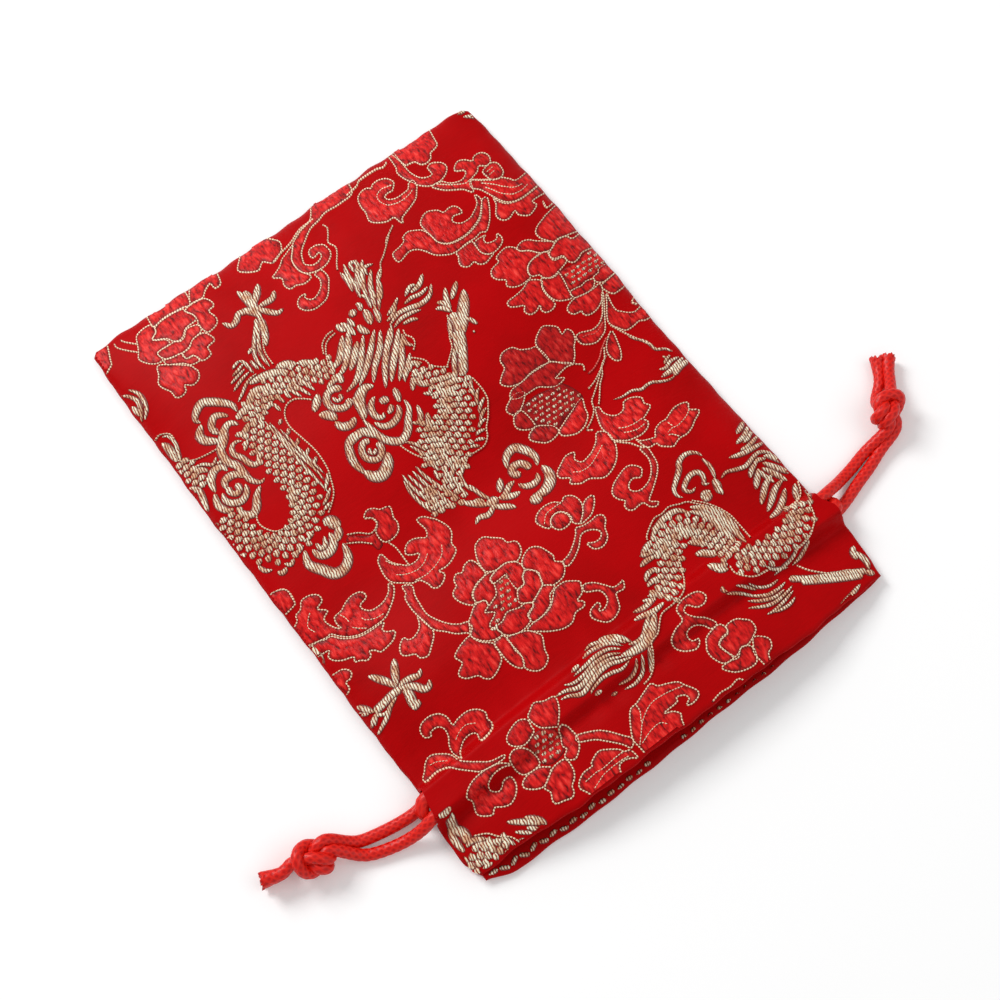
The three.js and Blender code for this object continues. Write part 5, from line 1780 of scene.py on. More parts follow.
# %% Small flower
FIGURES["small_flower"] = """
float -8.2,32.2 -8.5,34 -10,34.9 -11.7,34.6 -13,33.5 -13.7,31.7 -15,30.3 -15.2,29 -14,28.2 -12.3,28.4
-10,28.2 -8.5,27.7 -7.5,28.8 -5.7,30.3 -3.3,31.7 -1,32.3 -1.3,33.7 -3.3,33.3 -6,31.8 -8.2,29.8 -10,29.7
-11.7,30.7 -12.3,32 -11.3,33 -9.7,33
float -16.5,23.8 -15.7,25.3 -13.7,27 -12,27.5 -10,27.5 -12,25.8 -12.8,24.7 -14,23.8 -15.3,23.5
float -10,27.3 -12,25.7 -13.2,23.8 -13.2,22 -12.5,20.7 -11,20 -9.7,20.7 -8.3,19.5 -6,19 -3.7,19.5 -2.3,20.7
-2.3,21.7 -3,23.3 -4,24 -5.3,22.5 -7.3,22 -8.8,23 -9.3,24.7 -8.8,26.2
float -9,24.2 -8.6,25.6 -7,26.1 -5.3,25.7 -4.5,24.3 -5,22.7 -6.7,22 -8.3,22.6
thread -9.7,20.7 -7.6,20.7 -5.2,20.9 -3.3,22.6
"""

# %% [markdown]
# Left of the cloud: a leaf shaped like a fan, and the right half of the peony in painted shade.

# %% Fan leaf
FIGURES["fan_leaf"] = """
float -28.8,13.5 -28.7,16.3 -28,18 -26.7,19.7 -25,21 -23,21.8 -21,21.8 -18.5,20.1 -16.3,19.8 -15,19
-14.2,18.2 -15,17.2 -13.2,15.7 -13.5,14.3 -15.7,13 -17.7,12.2 -19.7,12.7 -18.7,14.2 -19.7,15.7 -21.7,15.5
-23.3,15 -25.3,13.7 -27,12 thread -26,15.3 -24,16.3 -21.7,17.3 -20,17.7 -18,17.5 -16.3,16.5
float 0.65 -20.2,6.3 -18,7 -16.3,6.8 -15,5.7 -13.7,4 -14.3,2.7 -16.7,2 -18.5,3 -20,4.5
float 0.65 -16.7,1.8 -14.9,1.5 -13.2,0 -13.2,-1.7 -14.6,-3.4 -16.5,-3.5 -17,-1
float 0.65 -16.5,-3.7 -14.7,-3.4 -13.8,-5.5 -15.7,-7 -18,-7.7 -20,-6.7 -18.5,-5
"""

# %% [markdown]
# Middle of the front, below the channel: the largest peony, seen a little from the side.

# %% Big peony
FIGURES["big_peony"] = """
float -0.3,34 1.3,35.2 4,35.3 5.3,34.3 5.8,33.7 5.2,32 4.8,30.7 6,29.2 6.8,28 6.3,26.7 4.7,25.5 2.7,25 1,26
0.2,27.7 -0.3,29.7 0.2,31 -1,32.3
float 5.8,33.7 8,34.8 10,35.7 10.7,35.3 12,34.5 12.5,33.7 11,31.3 9,31 8.3,29.7 7,28.7 5.7,29.3 5,31
float 4,35.3 4.3,36 6,36.7 7.3,38.5 10,39.5 12.8,39.5 12.8,37.7 10.5,36.5 10.2,35.7 8,34.8 6,34
float 13,38.7 15.3,39.5 17.7,39.2 19.3,38.3 20,37 20,35.3 18,35 16,34 13.3,34.8 11.7,34.8 10.3,35.7
10.7,36.5 12.8,37.3
seeds 12,34 13.5,34.6 16,34 18,34.8 20,35.3 21,34 18,32.3 20,31 18,30.3 15.3,29.5 14.3,27.3 10.5,26.8
11,30.5 12,32
float 9,31 11,31 11,27.3 10.7,26.7 13.7,26.8 14.5,26.5 14.3,25.3 12.3,24.7 10.7,24.5 8.7,24.7 7.2,25.7
6.7,27.3 7,28.5 8.3,29.5
float 15.3,29 17,29.8 18.3,30.2 18.3,28.7 20,28 19.8,26.3 18.3,25 16.3,24.3 14,24 12.5,24.5 14.3,25.5
14.4,27
float 7,25.7 5,24.7 4.2,23.3 4.3,21.7 6,20.7 6.3,19.3 8,17.7 9.7,16.3 12,16.8 13.3,18.7 14,20.7 14,23.3
12,24.5 9.3,24.5
"""

# %% [markdown]
# Middle: a cloud, and the main dragon's raised claw with the hair of its arm.

# %% Cloud and upper claw
FIGURES["cloud_and_upper_claw"] = """
cream 2.6 -11.8,10.5 -12,13 -10.8,15 -8.3,16 -6,15.5
band 2.6 -7.3,16 -5.6,16.3 -4.8,15.2 cream 1.6 -9.8,11.3 -9,12.8 -7,13 -5.3,12 -4.8,10.8
band 1.8 -9.3,9.7 -9,8.2 -8,7 -6.3,6.8 -5.4,7.7 -5.7,8.7 -7,9
cream 2.2 -11,10 -12,8 -11.3,5.5 -9.8,3.3 -8,3.2 -6.3,4.2 -5,6.3
cream 1.6 -4,12.7 -2.3,12.5 -0.5,11.7 1,10.8
cream 1.5 -4.5,9.7 -2.7,10 -1,11 1,11.3
cream 1.6 -2.3,7 -1.3,8.5 0,10 cream 1.5 -1,15.3 0.3,14 2,12.7 3.3,11.5
cream 1.4 9,12.8 7.3,12 5.3,12.7 3.5,12 2.3,11
band 2.2 1,10.7 2.7,10.7 4,10.2 cream 1.6 3.5,11 5.3,9.3 7.3,7.5 8.3,6.5
cream 1.2 2.3,10 3.3,8.5 4,6 4.3,4 cream 1.3 4,9.7 5,8.5 6.3,8
cream 1 4.5,6 5,3.5 4.5,1 3,-0.5 cream 1 6,6 6.5,3 6,0
cream 1 8,5.5 9,2.5 9,0 cream 0.9 10,6 11,3 11,0
cream 0.9 12,5.5 13,3 13,0.5 cream 0.9 14,4.5 15,2.5 15.3,0.5
"""

# %% [markdown]
# The right half of the big peony, and its stem, which bends down to the large leaves.

# %% Peony right petals
FIGURES["peony_right_petals"] = """
float 23,40 23.7,42 26,43.5 28,44 29.3,43 30,41.7 32.3,40.7 33.3,39.3 32.7,38.3 31,37.2 31.5,35.2 30,34.2
28,33.5 26,33.3 25.5,34.7 24.7,36 22.9,37.8 23,38.7
float 20,37.4 22,37.4 24,36.3 25.2,34.8 25.7,33.3 24.3,32 24.3,30.7 23,29.7 21.3,28.5 19.7,28.2 18.3,28.9
18.5,30.2 20,31 18.3,32.4 21,34.1 20.4,35.5
cream 1 19.3,34.6 20.3,35.4 21.7,34.9
float 14.5,23.8 17,24.3 19,25.2 20,26.3 20.2,27.7 21.3,27.8 22.7,26 23.3,24 22.8,22.8 21.3,22 21,20.7
19.7,19.7 18.3,20.2 17,19.2 15.3,19 14.5,20.2 14.3,22
float 24.3,30.5 26,29.7 28,28 29.7,25.3 30.5,23 30.3,20.3 30,18 29.2,15.7 31,14.5 31.3,16.3 32.2,17.3
32.5,20.3 32.3,22.3 32,25 31.3,27.3 29.7,29 28,31 26,32.3 25.7,33
"""

# %% [markdown]
# Right half, below the channel: two very large leaves with rolled tips on either side of the stem.

# %% Right leaves
FIGURES["right_leaves"] = """
float 31.7,27 32.3,28.3 34,29.8 36,31.2 37.7,30.5 38,29.2 39.7,28.3 40.5,27.3 39.8,25.7 38,24.5 37.3,25.5
36,25.8 34,25 33,23.7 32.4,22.3 31.9,24.5
float 14.3,9 14.5,11 16,13 16.2,15 18.3,16.3 20.3,16.8 22.3,16.7 21.7,18 23,19.3 24.7,19.7 25.8,19 26,17.7
27,15.8 28.7,15.3 30.3,14 32.2,12.3 32.7,10.3 32.3,7.7 31.7,6 30.3,5.3 29.7,8 28.3,10 26.8,11.3 24.7,11.5
23.3,10.5 24.7,9.8 25.8,8.7 24.7,7.2 23,6.7 21.3,7.3 19.7,8.3 18.7,6.7 19,3.7 17.5,3.7 16.3,5 15.3,6.3
thread 18,12 19.5,14 22,15.2 25,15.7 28,15.2
thread 21.8,11.7 23.7,13 26,13.5 28.7,12.7 30.7,11.3
thread 26.8,11.3 26.7,8.7 26.7,6 27.3,4
thread 28.5,10 29.5,9 30.5,7
float 33,12 34.3,13.7 36.3,14.8 38.3,15 40,14.7 41.2,13.3 41,12.2 39.3,11.7 38.7,11 39.3,9.7 41.3,9.2
43.3,9.7 45.3,10.7 47.3,11 47.8,12.7 47.6,14 48.7,13 49.5,11 49.3,9.7 47.7,8.7 49.2,7 47.3,6 47.3,4.3 49,3.2
51,3.2 52.3,4.7 54,5.3 54.7,6.7 55.3,9.3 55,11.7 52,13.7 50.3,13.7 49,15.3 47.3,16.8 45.3,17.8 42.7,18.2
40,18.3 38,18 36,16.8 34,15.3 32.5,13.3
thread 38,17.2 40,17 42,16 42.7,14.7 thread 43,17.7 44.5,16.5 45.7,15.3
thread 45.3,14 45.5,12.5 46,11.3 thread 52.7,11.3 53.3,9.3 52,7.5 51,6.7
float 39.3,18.7 40.5,20 40,21 38.5,22 39.7,23.3 41.3,23.8 43.7,24 44.5,23 45.7,22.3 46,23.3 47.3,23.7
48.5,22.8 49.7,22.3 49.3,21.2 51.7,20.3 53.3,19 53.7,17.7 53,16.5 55,15.9 55.7,13.7 54,13.3 52,14 50.5,14.2
49.2,15.8 47.4,17.2 45.3,18.2 42.7,18.6
float 51.7,23.7 52.7,24.8 54,25 54.7,27 56.5,28.3 56.5,22 54.5,21.8 52.5,22.3
float 22.2,-3.3 22,-2.3 22.8,-0.3 22.8,1.3 23.8,3 25.7,3.8 27.7,3.5 28.3,2 28,0 26.7,-1.3 26.8,-3.2
28.2,-4.3 26.7,-5.5 25.2,-5 24,-3.8
patch 28.2,0.2 29.6,0 31.5,-1.4 33.5,-3 34.7,-2 32.3,0 30.7,2 30.2,4 28.5,3.5 28.4,1.8
float 52.3,2 53.5,3.2 56.5,3.5 56.5,-2.3 54.3,-2.3 52.2,-1
"""

# %% [markdown]
# Right edge, above the leaves: the second dragon's claw, which comes in over the seam.

# %% Right claw
FIGURES["right_claw"] = """
cream 1.8 39,35.7 40,37 41.3,36.7 42.5,35 44,34 45.5,33.5
cream 2.2 45.5,39.3 45,37.5 44.5,35.7 45,34
band 1.6 43.5,38 44.7,38.7 46,38.7 cream 1.5 39,32.5 40.3,33.5 42,33 44,32.7 45.5,33.3
cream 1.8 42.3,27 43.5,28.8 44.5,30.5 45.5,32.5
cream 1.8 49.3,26.7 48,28.5 46.7,30.5 45.8,32.7
band 1.8 45,33.5 47.5,33.5 50.5,34 53,34.3
cream 1.2 47,34.5 49.5,35.5 51.5,37 53.5,38 55.5,39
cream 1 50,35.7 51.5,36 53,35.3 54.5,37
cream 1 52,34.7 54,35.5 55.5,37 cream 1.5 53,34.3 54,32.7 55.3,30.8
cream 1 54,34 55.3,33 56,32.2 cream 1.3 55.8,19 55,16 55.3,13.7 56,12.5
"""

# %% [markdown]
# Upper left corner: the second dragon. Its arm enters at the seam, its body loops once, and its tail runs
# right.

# %% Second dragon
FIGURES["second_dragon"] = """
band 1.5 -53.2,75.9 -51,74.6 -46.5,72 -42.4,69.7 -38.3,66.6
band 1.4 -51.8,76.2 -48,74.1 -44,71.6 -39.8,68.8
thread -52,75 -50,73.2 -48,72.2 -46,71 -44.5,69.5 -43,67.7 -41.7,65.3
cream 1.4 -53.6,76 -54.5,74.2 -54.3,72 -53.6,70.6
cream 1.5 -54.8,69.6 -53.6,70.8 -53.2,72.6
cream 1.4 -54,77.6 -53.4,76.6 -52.6,75.8
cream 1.2 -50,77.3 -47.5,77.9 -45,78.2 -43,78.4
cream 1 -38,68.3 -35.5,68.8 -32,68.9 -29.5,68 -26.7,66.3
cream 0.9 -37.3,69.3 -34,70 -31,70.3 -29,70
cream 0.9 -36.7,70.7 -34.5,71.3 -32,71 -30.5,70.5
cream 1 -37.3,66.7 -35,67 -32.3,66.7 -30,65.3 -28.5,64
cream 1 -36,67.9 -33,68 -30,66.7 -27.7,65
cream 0.8 -36.5,65.3 -34,65.3 -31.7,64 -30.5,61.7
cream 0.9 -28.7,64 -27,62 -25,60.7 cream 0.9 -31,64.3 -29.5,62 -28,60.5
cream 0.9 -29.7,65.3 -28,63 -26,61 cream 1 -25.7,60.5 -25,59.7 -25.7,58.8
cream 1 -48,62.3 -46,63.3 -43.5,64.3 -41,64.7
cream 1 -45,62 -42,63.3 -39,63.7 -36.3,64
cream 1 -40,64.5 -37,62.7 -36.3,61
scales 6 -51.5,54.5 -50,57.5 -46,58.7 -41,59 -36,58.3 -32.5,56.5
thread -53.7,56 -52.5,59 -50,61 -47,62 -43.5,62.3
thread -36,62 -33,61.5 -31,60 -29.8,58 -30,56
cream 1.4 -52,54 -53,52 -54.5,50 cream 1.2 -54.5,55.5 -55.5,53 -55.7,50
cream 1.6 -44.3,53 -47,52.8 -49.5,51.5 -52,49.5
cream 1.5 -45,51.5 -47.5,50 -50,48.3 -53,47.5
cream 1.5 -45,49.3 -47,47.7 -49.3,46 -52,45
cream 1.5 -46.5,45.7 -48.5,43.8 -50.3,42
cream 1.3 -47.3,42.7 -49,41.3 -51,40.5
cream 1.5 -55.3,47.5 -53.7,44.5 -52,41.5
cream 1.4 -53.5,48.5 -52.3,45 -51,42.3
cream 1.3 -55.5,44.5 -54.7,42 -53.3,40.3
cream 1.2 -51,47 -50.3,44.5 -50,42 thread -55.3,50 -54,52.5 -52,53.8 -49.5,54
cream 2.1 -36.5,54.2 -36.2,50 -35.7,46 -34.6,42.4 -31.9,39.6
cream 1.9 -34.7,53 -34.5,49.5 -34.1,45.5 -33,42.6 -31.2,40.4
cream 1.2 -37.2,51 -37.1,47 -36.2,43.7 -34.3,41
thread -38,54 -38,50 -37.9,47 -37,44 -35.3,41 -33.3,38.7
scales 5.6 -32.3,54 -31.5,50 -30.7,46 -29,43 -26,41.3 -22.5,41.8 -19.5,44
cream 1.8 -30,55.5 -28,55 -26,53 cream 1.8 -29.5,52.5 -27.5,50.3 -25.5,49.3
cream 1.6 -29.5,49.5 -28,47.5 -26,46 cream 1.6 -29,45.5 -27.5,43.5 -26,41.7
cream 1.2 -29.5,56.5 -28,56 -26.5,54.7
cream 1.6 -31,40.5 -29,38.5 -26,38.2 -23,38.9 -20,40.5
cream 2 -38,39.7 -36.5,40.3 -35.5,39.7
cream 1.8 -39.3,41.3 -40.3,39.5 -40.7,37.5
"""

# %% [markdown]
# Upper middle: the tail, which ends in a brush of hair.

# %% Second dragon tail
FIGURES["second_dragon_tail"] = """
scales 6 -23,44 -20,47 -17.3,50.3 -14,52.7
thread -23,46 -21,50 -19.5,53 -17.5,54.7 -14.5,55.3 -11,55.5 -9,57 -7.3,58.5 -5,59.2 -4,60.7 -3,62 -1.5,64
0.5,65.3 2.5,65.7 cream 2.4 -10,54.3 -8,56 -6,57.7 -3.5,58.5 0,58.3 2.5,57.5
cream 1.3 -9,53.5 -6.5,55.5 -4.5,57 -2.5,57.2 -0.5,56.5
cream 1.3 -13,53.8 -10,54 -7,53.3 -5,53
cream 1.3 -12.5,51.7 -9.5,52 -7.5,51.8 -6,51.3
cream 1.2 -12,52.3 -9.3,50.5 cream 1.4 -15,50.3 -12.5,51.2 -11,50.3
cream 1.3 -16,48.5 -13.7,48.3 -12.3,48.7
cream 1.3 -17,46.5 -14.5,46.3 -12.7,47.5
cream 1.3 -18.5,44 -16,43.7 -14,44 cream 1.2 -17.7,43 -15.5,41.8
cream 1.5 -20,40.5 -18,41.3 -16,42 cream 1.2 -4,59.5 -2.7,61.5 -1.5,63.3 -0.3,64.5
cream 1 -1.5,60 0,62.3 1.5,63.7 4,64.4 6.5,64
cream 0.9 0,60 1.5,61.7 4,62.7 7,62.3 cream 0.9 8,63.5 9.7,63.3
cream 1 1.5,59.5 4,60 6.5,59.3 9,59 12,59.7 13,60.3
cream 1.3 0.5,59.3 3,58.5 5.5,57.5 8.5,57.5 11.5,58.3 14.5,59 17,57.7 19,57.2
cream 1.3 2,58 4.5,56.8 7.5,56.3 10.5,56.8 14,57.5 17,56.3 19.5,56
cream 1.2 2,57 4.5,55.7 8,55.3 11.5,56 14.5,56 16.5,55
cream 1.1 1.3,56.3 3.5,54.7 6.5,54.2 10,54.5 13.5,54.8
cream 1.1 0.5,56 2.5,53.8 5,52.9 7.5,52.6 9.5,52.9
cream 1.3 -1.5,56.5 0,54 2,52.5 4,51.5
cream 1.2 -0.5,56 1.5,53.5 4,52.3 6,51.5 8,51.7
cream 1 10.8,53.5 13.3,53.8 cream 1 10.5,61 12.5,61
"""

# %% [markdown]
# Near the mouth: a half-open bud on a rolled leaf, and two long leaves that the mouth's fold cuts off.

# %% Bud and top leaves
FIGURES["bud_and_top_leaves"] = """
float -23.3,72.2 -25,73.3 -25.8,74.7 -25,76.3 -23.3,77.3 -21.7,77.7 -21,76 -21.3,74.5 -22,73.7
float -21,76 -20,77 -18,77 -15.3,76 -13.7,74.3 -13.4,73.3 -14.5,73.1 -16.3,73.3 -17.7,73.7 -19.5,72.4
-21.3,73 -21.7,74.3
float -23.3,72 -25,71 -25.3,69 -24.3,67.7 -22.7,66.5 -20.3,66.5 -19.5,68 -17.7,68.2 -16.3,69 -16.5,71 -17,73
-18.3,73 -19.7,72.3 -21.3,72.7
float -17,73 -14.4,72.8 -13.2,70.3 -13.3,68.3 -14,67.3 -15,66 -17.3,65.3 -19.3,65.3 -20,66.7 -19.5,67.8
-17.7,68 -16.2,68.9 -16.4,71
float -19,64.7 -18,62.3 -16.3,60.7 -15.3,59.3 -15.2,58 -16.5,57.4 -17.4,58.5 -18.3,59.3 -20,59.4 -21.2,58.4
-21,57.1 -20,56.2 -18,55.8 -16,55.9 -14,56.9 -13.5,59.5 -11,60.2 -8.7,61.5 -8.1,63.3 -8.7,64.7 -10,65.8
-11.7,66.5 -13,66 -13.6,65 -12.2,64.6 -11.9,63.2 -12.7,62.1 -14.7,62 -16.3,63.2 -17.3,65
float -2,75 -3.3,75.5 -5.3,75 -5.8,73.7 -4.5,71.3 -3.7,69.8 -1.7,68.7 0.3,67.8 1.2,66.5 3.3,67 6.3,68
8.3,68.3 10.3,70.7 12,73.7 12,76 11.3,77.8 8.3,77.7 5.5,78.2 2.7,77.9 1,77 0.3,75.7 1.3,74.3 3,73.4
-0.7,73.2 -1.3,72.3 -3,73 -3.3,74.2 thread 4,75.7 5.3,74.5 8,74.7 11.3,75.8
thread -4,71.2 0,70.2 4,70 7.7,71.8 10,74 11.7,75.7
thread 6.7,68.3 7,70 8,71.5 8,72.3
float 14,75.3 15.3,74.7 15.8,73.7 17.7,72.2 19.7,71.3 22.3,72.3 22.7,73 25,73 27,74 27.7,75.3 26.9,77.1
25.3,77.8 23,77.6 20,77.8 18.3,77 16.7,76.2 15,76.7 13.7,77.5
thread 15.5,74.6 18,74.6 21,74.8 23,74.6 26,74.8
thread 15,76.1 18,75.8 21.5,75.9 23.5,76.5 25.5,77.2
float 12,73.7 13.3,71.7 15.3,69 17.3,67.3 21,65.7 21.7,67 18.7,68.7 16.7,70.7 14.5,73.3 13.5,75
thread -15.7,79 -14.5,77.4 -12,77.7 -9.5,77.4 -6.7,77.9
"""

# %% [markdown]
# The upper petals of the big peony, and the rolled leaf beside them.

# %% Peony top petals
FIGURES["peony_top_petals"] = """
float 13.3,43.3 14.7,46 15.3,48 17.3,49.2 19.3,48.7 20.7,46.7 19.7,44 19.8,40.7 19.7,38.7 16.7,39.5 15,40.3
13.7,42
float -1,39 0,40.7 2,41.5 1,42.5 1.7,43.5 4,43.5 6,44.8 8.3,44.8 10.7,43.7 12.7,42.3 15,40.2 13,39.6 10,39.6
7.7,39 6,37.7 4.3,36.3 1.7,36.2 0,37.2 -1.2,38.3
float 20,37.8 21.3,37.9 22.6,38 22.9,41.3 22.7,44 21.7,46 20.6,46.2 19.7,44.3 20,42 19.7,40
float -9,44 -8,45.7 -6,45.5 -5.3,46.7 -4.3,48.7 -2,49.8 0,49.5 1.7,47.3 1.8,46 0.7,45 -1.3,44.7 -1.3,45.7
-0.3,46.3 -1.3,46.8 -3,46 -3.7,44.7 -3.3,42.7 -0.7,41 -1.3,39.5 -3.3,40.3 -5,42.3 -6.3,44 -8,44.2
"""

# %% [markdown]
# Upper right: a peony that crosses the channel, with dark seeds in its middle.

# %% Upper right peony
FIGURES["upper_right_peony"] = """
float 26.3,68.3 26.3,71 27.3,72.7 28.7,73.7 29.2,75 30.3,75.7 32,75.2 33.7,74.7 34,73.7 33.2,72 33.7,70.7
33,70 31.3,69 29,68
float 30,68 33,70 35,69.7 37,68 36.7,66.7 34.7,66 32,66.2 30.7,67
float 21.3,64 21.2,66 22,67.7 23,68.7 24.5,69.5 25.8,68.8 26,67.7 24.7,66.7 25,65.5 24,63.7 23.5,62.3
22.3,61.7 21.5,62.7
seeds 24.7,66.2 27,67.2 29.3,67.3 31,65.7 30.7,63 30.7,60.7 28,59.7 26,60 24.3,61.3 24,63.3
float 31.3,65.7 34.7,65.8 36,64.7 36.2,62.7 35.7,60.7 34,59.8 32,60.7 31,62.7
float 23,61.3 21,59.3 19.8,57.3 19.7,55.7 22,55.2 24,54.2 25.7,55 27,56 26.8,58.3 26,59.7 24,61
float 27.5,56.3 27.7,58 28,59.3 30.7,60.3 32.3,60 33.7,58.7 33.8,57.2 32.3,56 29.3,55.2
"""

# %% [markdown]
# Right of that peony: a scroll above and two curved leaves below, all on one stem.

# %% Upper right leaves
FIGURES["upper_right_leaves"] = """
float 44.7,54.2 45.3,52.3 47,50.7 49,49.7 50.7,50.3 52,51.7 53.2,52.8 53,53.8 50,53.5 47.3,54.3 46,55.7
44,57.7 42,59.3 37.3,60 36.2,59.4 39.3,58.7 41.3,57.3 43.3,55.7
thread 46.5,53 48.5,51.7 50.3,51.3
float 38,64 38,66 39.3,67.7 41.3,68.7 43,68.3 44.7,67.3 46,68.2 48,67 48.5,65.7 47.7,63.3 48.2,62 47,60.7
44.7,59.7 41.3,59.5 38,60.3 36.2,62 38,61.3 40.7,61.3 42.7,62.3 43.2,63.8 42,65 40.7,64.7 39.7,63.8
float 38.3,53.7 36.7,53.8 34.7,53.2 34,52 34.2,50.7 33.7,49.3 34.7,47.7 36.7,46.7 39.3,46.8 41,47.2 41,45
42,43.3 44,42.5 46.3,42.8 47.5,44 47.5,45.7 46.3,46.3 45.7,45.5 44,45.5 43,46.7 43.3,48.7 44.3,50.3
44.7,52.3 44,54.3 43.3,53 41.3,51.5 39.3,51.2 38,52
thread 36.7,50 38.7,49 40.7,49.3 42.5,50.3
"""

# %% [markdown]
# Upper right corner: hair and a foot of another dragon, which the mouth and the seam cut off.

# %% Top right cream
FIGURES["top_right_cream"] = """
cream 1.5 38,77 38.7,75.3 41,72.7 cream 1.4 38.7,76.3 41,74 44.7,71.2
cream 1.2 39.7,77 42,74.7 cream 1 41.3,76.7 44.5,74
cream 1 43.3,76.7 45.3,76 thread 45,76 45.8,74.3 47.7,72.7 49.3,70.7 52,69.3
cream 1.2 46,76.3 47,74 48.7,73.3
scales 4 47.5,75 50,74 53,73.5 56,74 cream 1.8 48.5,73 50.5,72.7 53,71
cream 1.4 50,71.5 52.7,70 54.7,70.3 band 2.2 53.7,70 53.3,67.5 54.3,65.5 53.5,63
cream 1.6 55.5,71 55.7,67.5 55,64.5 cream 1.4 52.5,62.5 54,64.5 55.3,66.5
cream 1.3 52,61.3 54,61.7 55.7,61.3 cream 1 52,76.3 54.5,76
"""

# %% [markdown]
# Weaving the figures
#
# Every shape goes into one of four meshes: coral patches, gold threads, coral threads and cream floats.
# The same shapes are then laid on the front and on the back. Faces that would lie beyond the cloth's edge
# are left out, as the seam cuts the pattern there.

# %% Sort the shapes into meshes
def woven(figures):
    patches, golds, corals, creams = Mesh(), Mesh(), Mesh(), Mesh()
    for word, width, points in read_figures(figures):
        # For float, patch and seeds the number after the word is the share of the coral colour that shows,
        # 1 when it is left out; a lower one is painted shade.
        if word in ("float", "patch"):
            patch(patches, points, width or 1.0)
        if word == "float":
            beaded(golds, points, closed=True)
        if word == "thread":
            beaded(golds, points, rise=RISE_OVER_PETALS_MM)
        if word == "vein":
            beaded(corals, points, width=0.45, rise=RISE_OVER_PETALS_MM)
        if word in ("cream", "band"):
            stroke(creams, points, width, word == "band")
        if word == "scales":
            scales(creams, points, width)
        if word == "seeds":
            seeds(patches, creams, points, width or 1.0)
    return patches, golds, corals, creams


def within(mouth_y, to_cloth):
    """A test for places that lie on the cloth."""
    def keep(drawn):
        place = to_cloth(drawn)
        x, y = place[:, 0], place[:, 1]
        beside = np.abs(x) < seam_x(x, y) - EDGE_MARGIN_MM
        return beside & (y > closed_end_y(x) + EDGE_MARGIN_MM) & (y < mouth_y(x) - EDGE_MARGIN_MM)
    return keep


WOVEN = woven(" ".join(FIGURES.values()))
FINISHES = (("coral_patches", coral, "edge"), ("gold_threads", gold, "bead"),
            ("coral_threads", coral_thread, "bead"), ("cream_figures", cream, "edge"))
front_figures, back_figures = [], []
for mesh, (title, material, value_name) in zip(WOVEN, FINISHES):
    on_front_cloth = within(front_mouth_y, under_the_line_of_sight)
    on_back_cloth = within(back_mouth_y, end_for_end)
    front_figures.append(mesh.piece(f"front_{title}", on_front, on_front_cloth, material, value_name))
    back_figures.append(mesh.piece(f"back_{title}", on_back, on_back_cloth, material, value_name))

# %% [markdown]
# The back hem reaches a little past the front one, so its inside shows as a narrow strip. On the reverse
# of a brocade the cream threads lie loose between the figures, and they show there as a row of wavy
# flecks, apart from one bare stretch.

# %% Add the flecks on the reverse
FIRST_FLECK_MM = -23.0
LAST_FLECK_MM = 53.0
FLECK_STEP_MM = 2.5
FLECK_LENGTH_MM = 2.2
FLECK_WIDTH_MM = 1.05
FLECK_POINTS = 6
BARE_STRETCH_MM = (3.5, 10.5)


def on_reverse(places, lift):
    x, y = places[:, 0], places[:, 1]
    return np.stack([x, y, back_height(x, y) + thickness_between_faces(x, y) + lift], axis=1)


flecks = Mesh()
for start in np.arange(FIRST_FLECK_MM, LAST_FLECK_MM, FLECK_STEP_MM):
    if BARE_STRETCH_MM[0] < start < BARE_STRETCH_MM[1]:
        continue
    length = FLECK_LENGTH_MM * (0.85 + 0.3 * math.sin(5 * start))
    x = np.linspace(start, start + length, FLECK_POINTS)
    wavy_share = 0.55 + 0.14 * np.sin(1.3 * x)
    y = front_mouth_y(x) + (back_mouth_y(x) - front_mouth_y(x)) * wavy_share
    stroke(flecks, np.stack([x, y], axis=1), FLECK_WIDTH_MM, blunt=True)
back_figures.append(flecks.piece("hem_flecks", on_reverse, within(back_mouth_y, np.asarray), cream, "edge"))

# %% [markdown]
# Table and light
#
# The pouch lies on a plain white table. One large soft lamp stands on the closed end's side, high enough
# to keep the satin red and low enough to model the folds, and a weaker one fills the other side. The
# world gives the rest, evenly from everywhere.

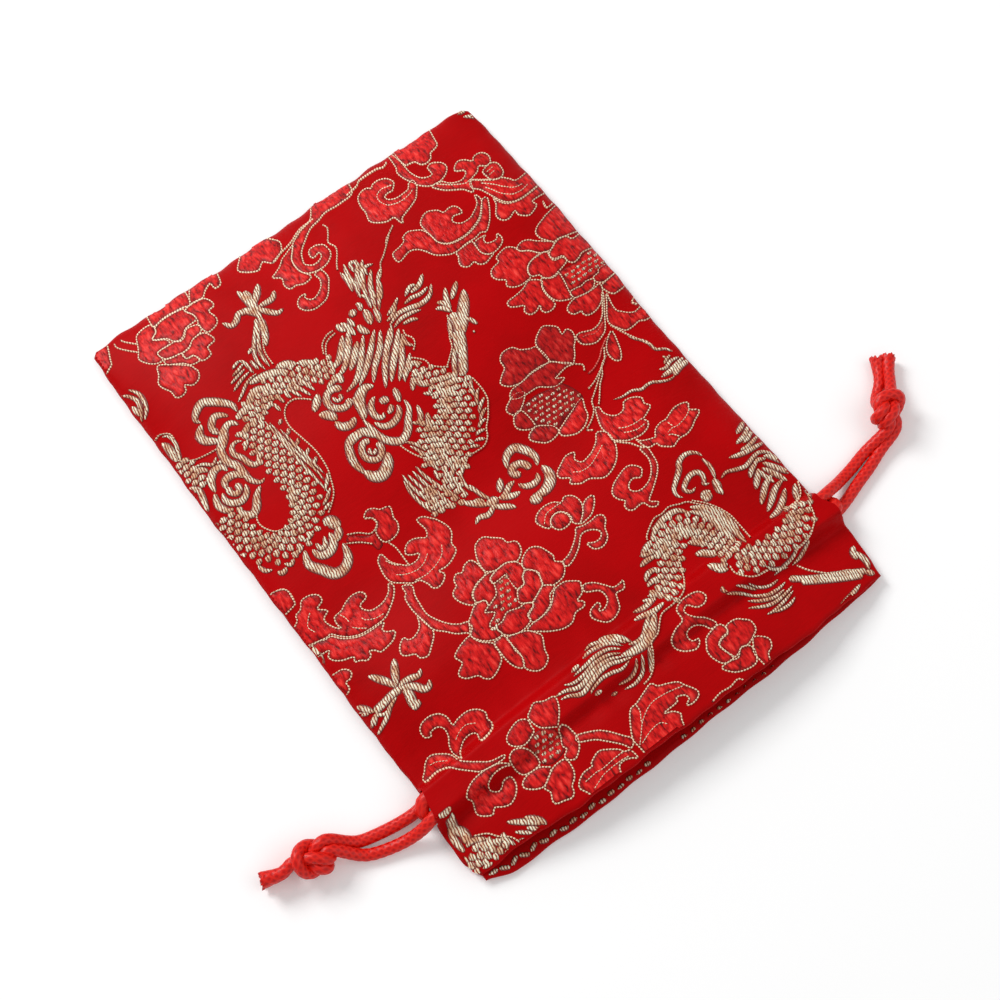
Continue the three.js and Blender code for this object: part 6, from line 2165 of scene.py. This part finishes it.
# %% Make the table
table_finish, table_shader = new_material("table_white", Roughness=0.9)
table_shader.inputs["Base Color"].default_value = (0.93, 0.93, 0.93, 1)
table_shader.inputs["Specular IOR Level"].default_value = 0.0
glow = add_node(table_finish, "Emission")
light_path = add_node(table_finish, "LightPath")
glow_share = add_node(table_finish, "Math", operation="MULTIPLY")
glow_share.inputs[1].default_value = 0.1
table_sum = add_node(table_finish, "AddShader")
table_out = table_finish.node_tree.nodes["Material Output"]
join(
    table_finish,
    (light_path.outputs["Is Camera Ray"], glow_share.inputs[0]),
    (glow_share.outputs["Value"], glow.inputs["Strength"]),
    (table_shader.outputs["BSDF"], table_sum.inputs[0]),
    (glow.outputs["Emission"], table_sum.inputs[1]),
    (table_sum.outputs["Shader"], table_out.inputs["Surface"]),
)
TABLE_HALF_M = 3.0
table_mesh = bpy.data.meshes.new("table")
corners = [(-1, -1), (1, -1), (1, 1), (-1, 1)]
table_mesh.from_pydata([(x * TABLE_HALF_M, y * TABLE_HALF_M, 0) for x, y in corners], [], [(0, 1, 2, 3)])
table_mesh.materials.append(table_finish)
table = bpy.data.objects.new("table", table_mesh)
scene.collection.objects.link(table)

# %% Light it
world = bpy.data.worlds.new("studio")
world.use_nodes = True
world.node_tree.nodes["Background"].inputs["Color"].default_value = (1, 1, 1, 1)
world.node_tree.nodes["Background"].inputs["Strength"].default_value = 0.5
scene.world = world


def soft_lamp(name, place, watts, size):
    """A square lamp that faces the middle of the pouch."""
    data = bpy.data.lights.new(name, "AREA")
    data.energy = watts
    data.size = size
    lamp = bpy.data.objects.new(name, data)
    lamp.matrix_world = look_from(Vector(place), Vector((0, 0, 0)), Vector((0, 0, 1)))
    scene.collection.objects.link(lamp)


soft_lamp("main_lamp", (0.25, -0.75, 0.75), 7.8, 0.45)
soft_lamp("fill_lamp", (-0.5, 0.6, 0.9), 2.2, 0.8)

# %% [markdown]
# Last, the number of figure pieces on the front and on the back is printed.


print("figures on the front:", len(front_figures), "and on the back:", len(back_figures))
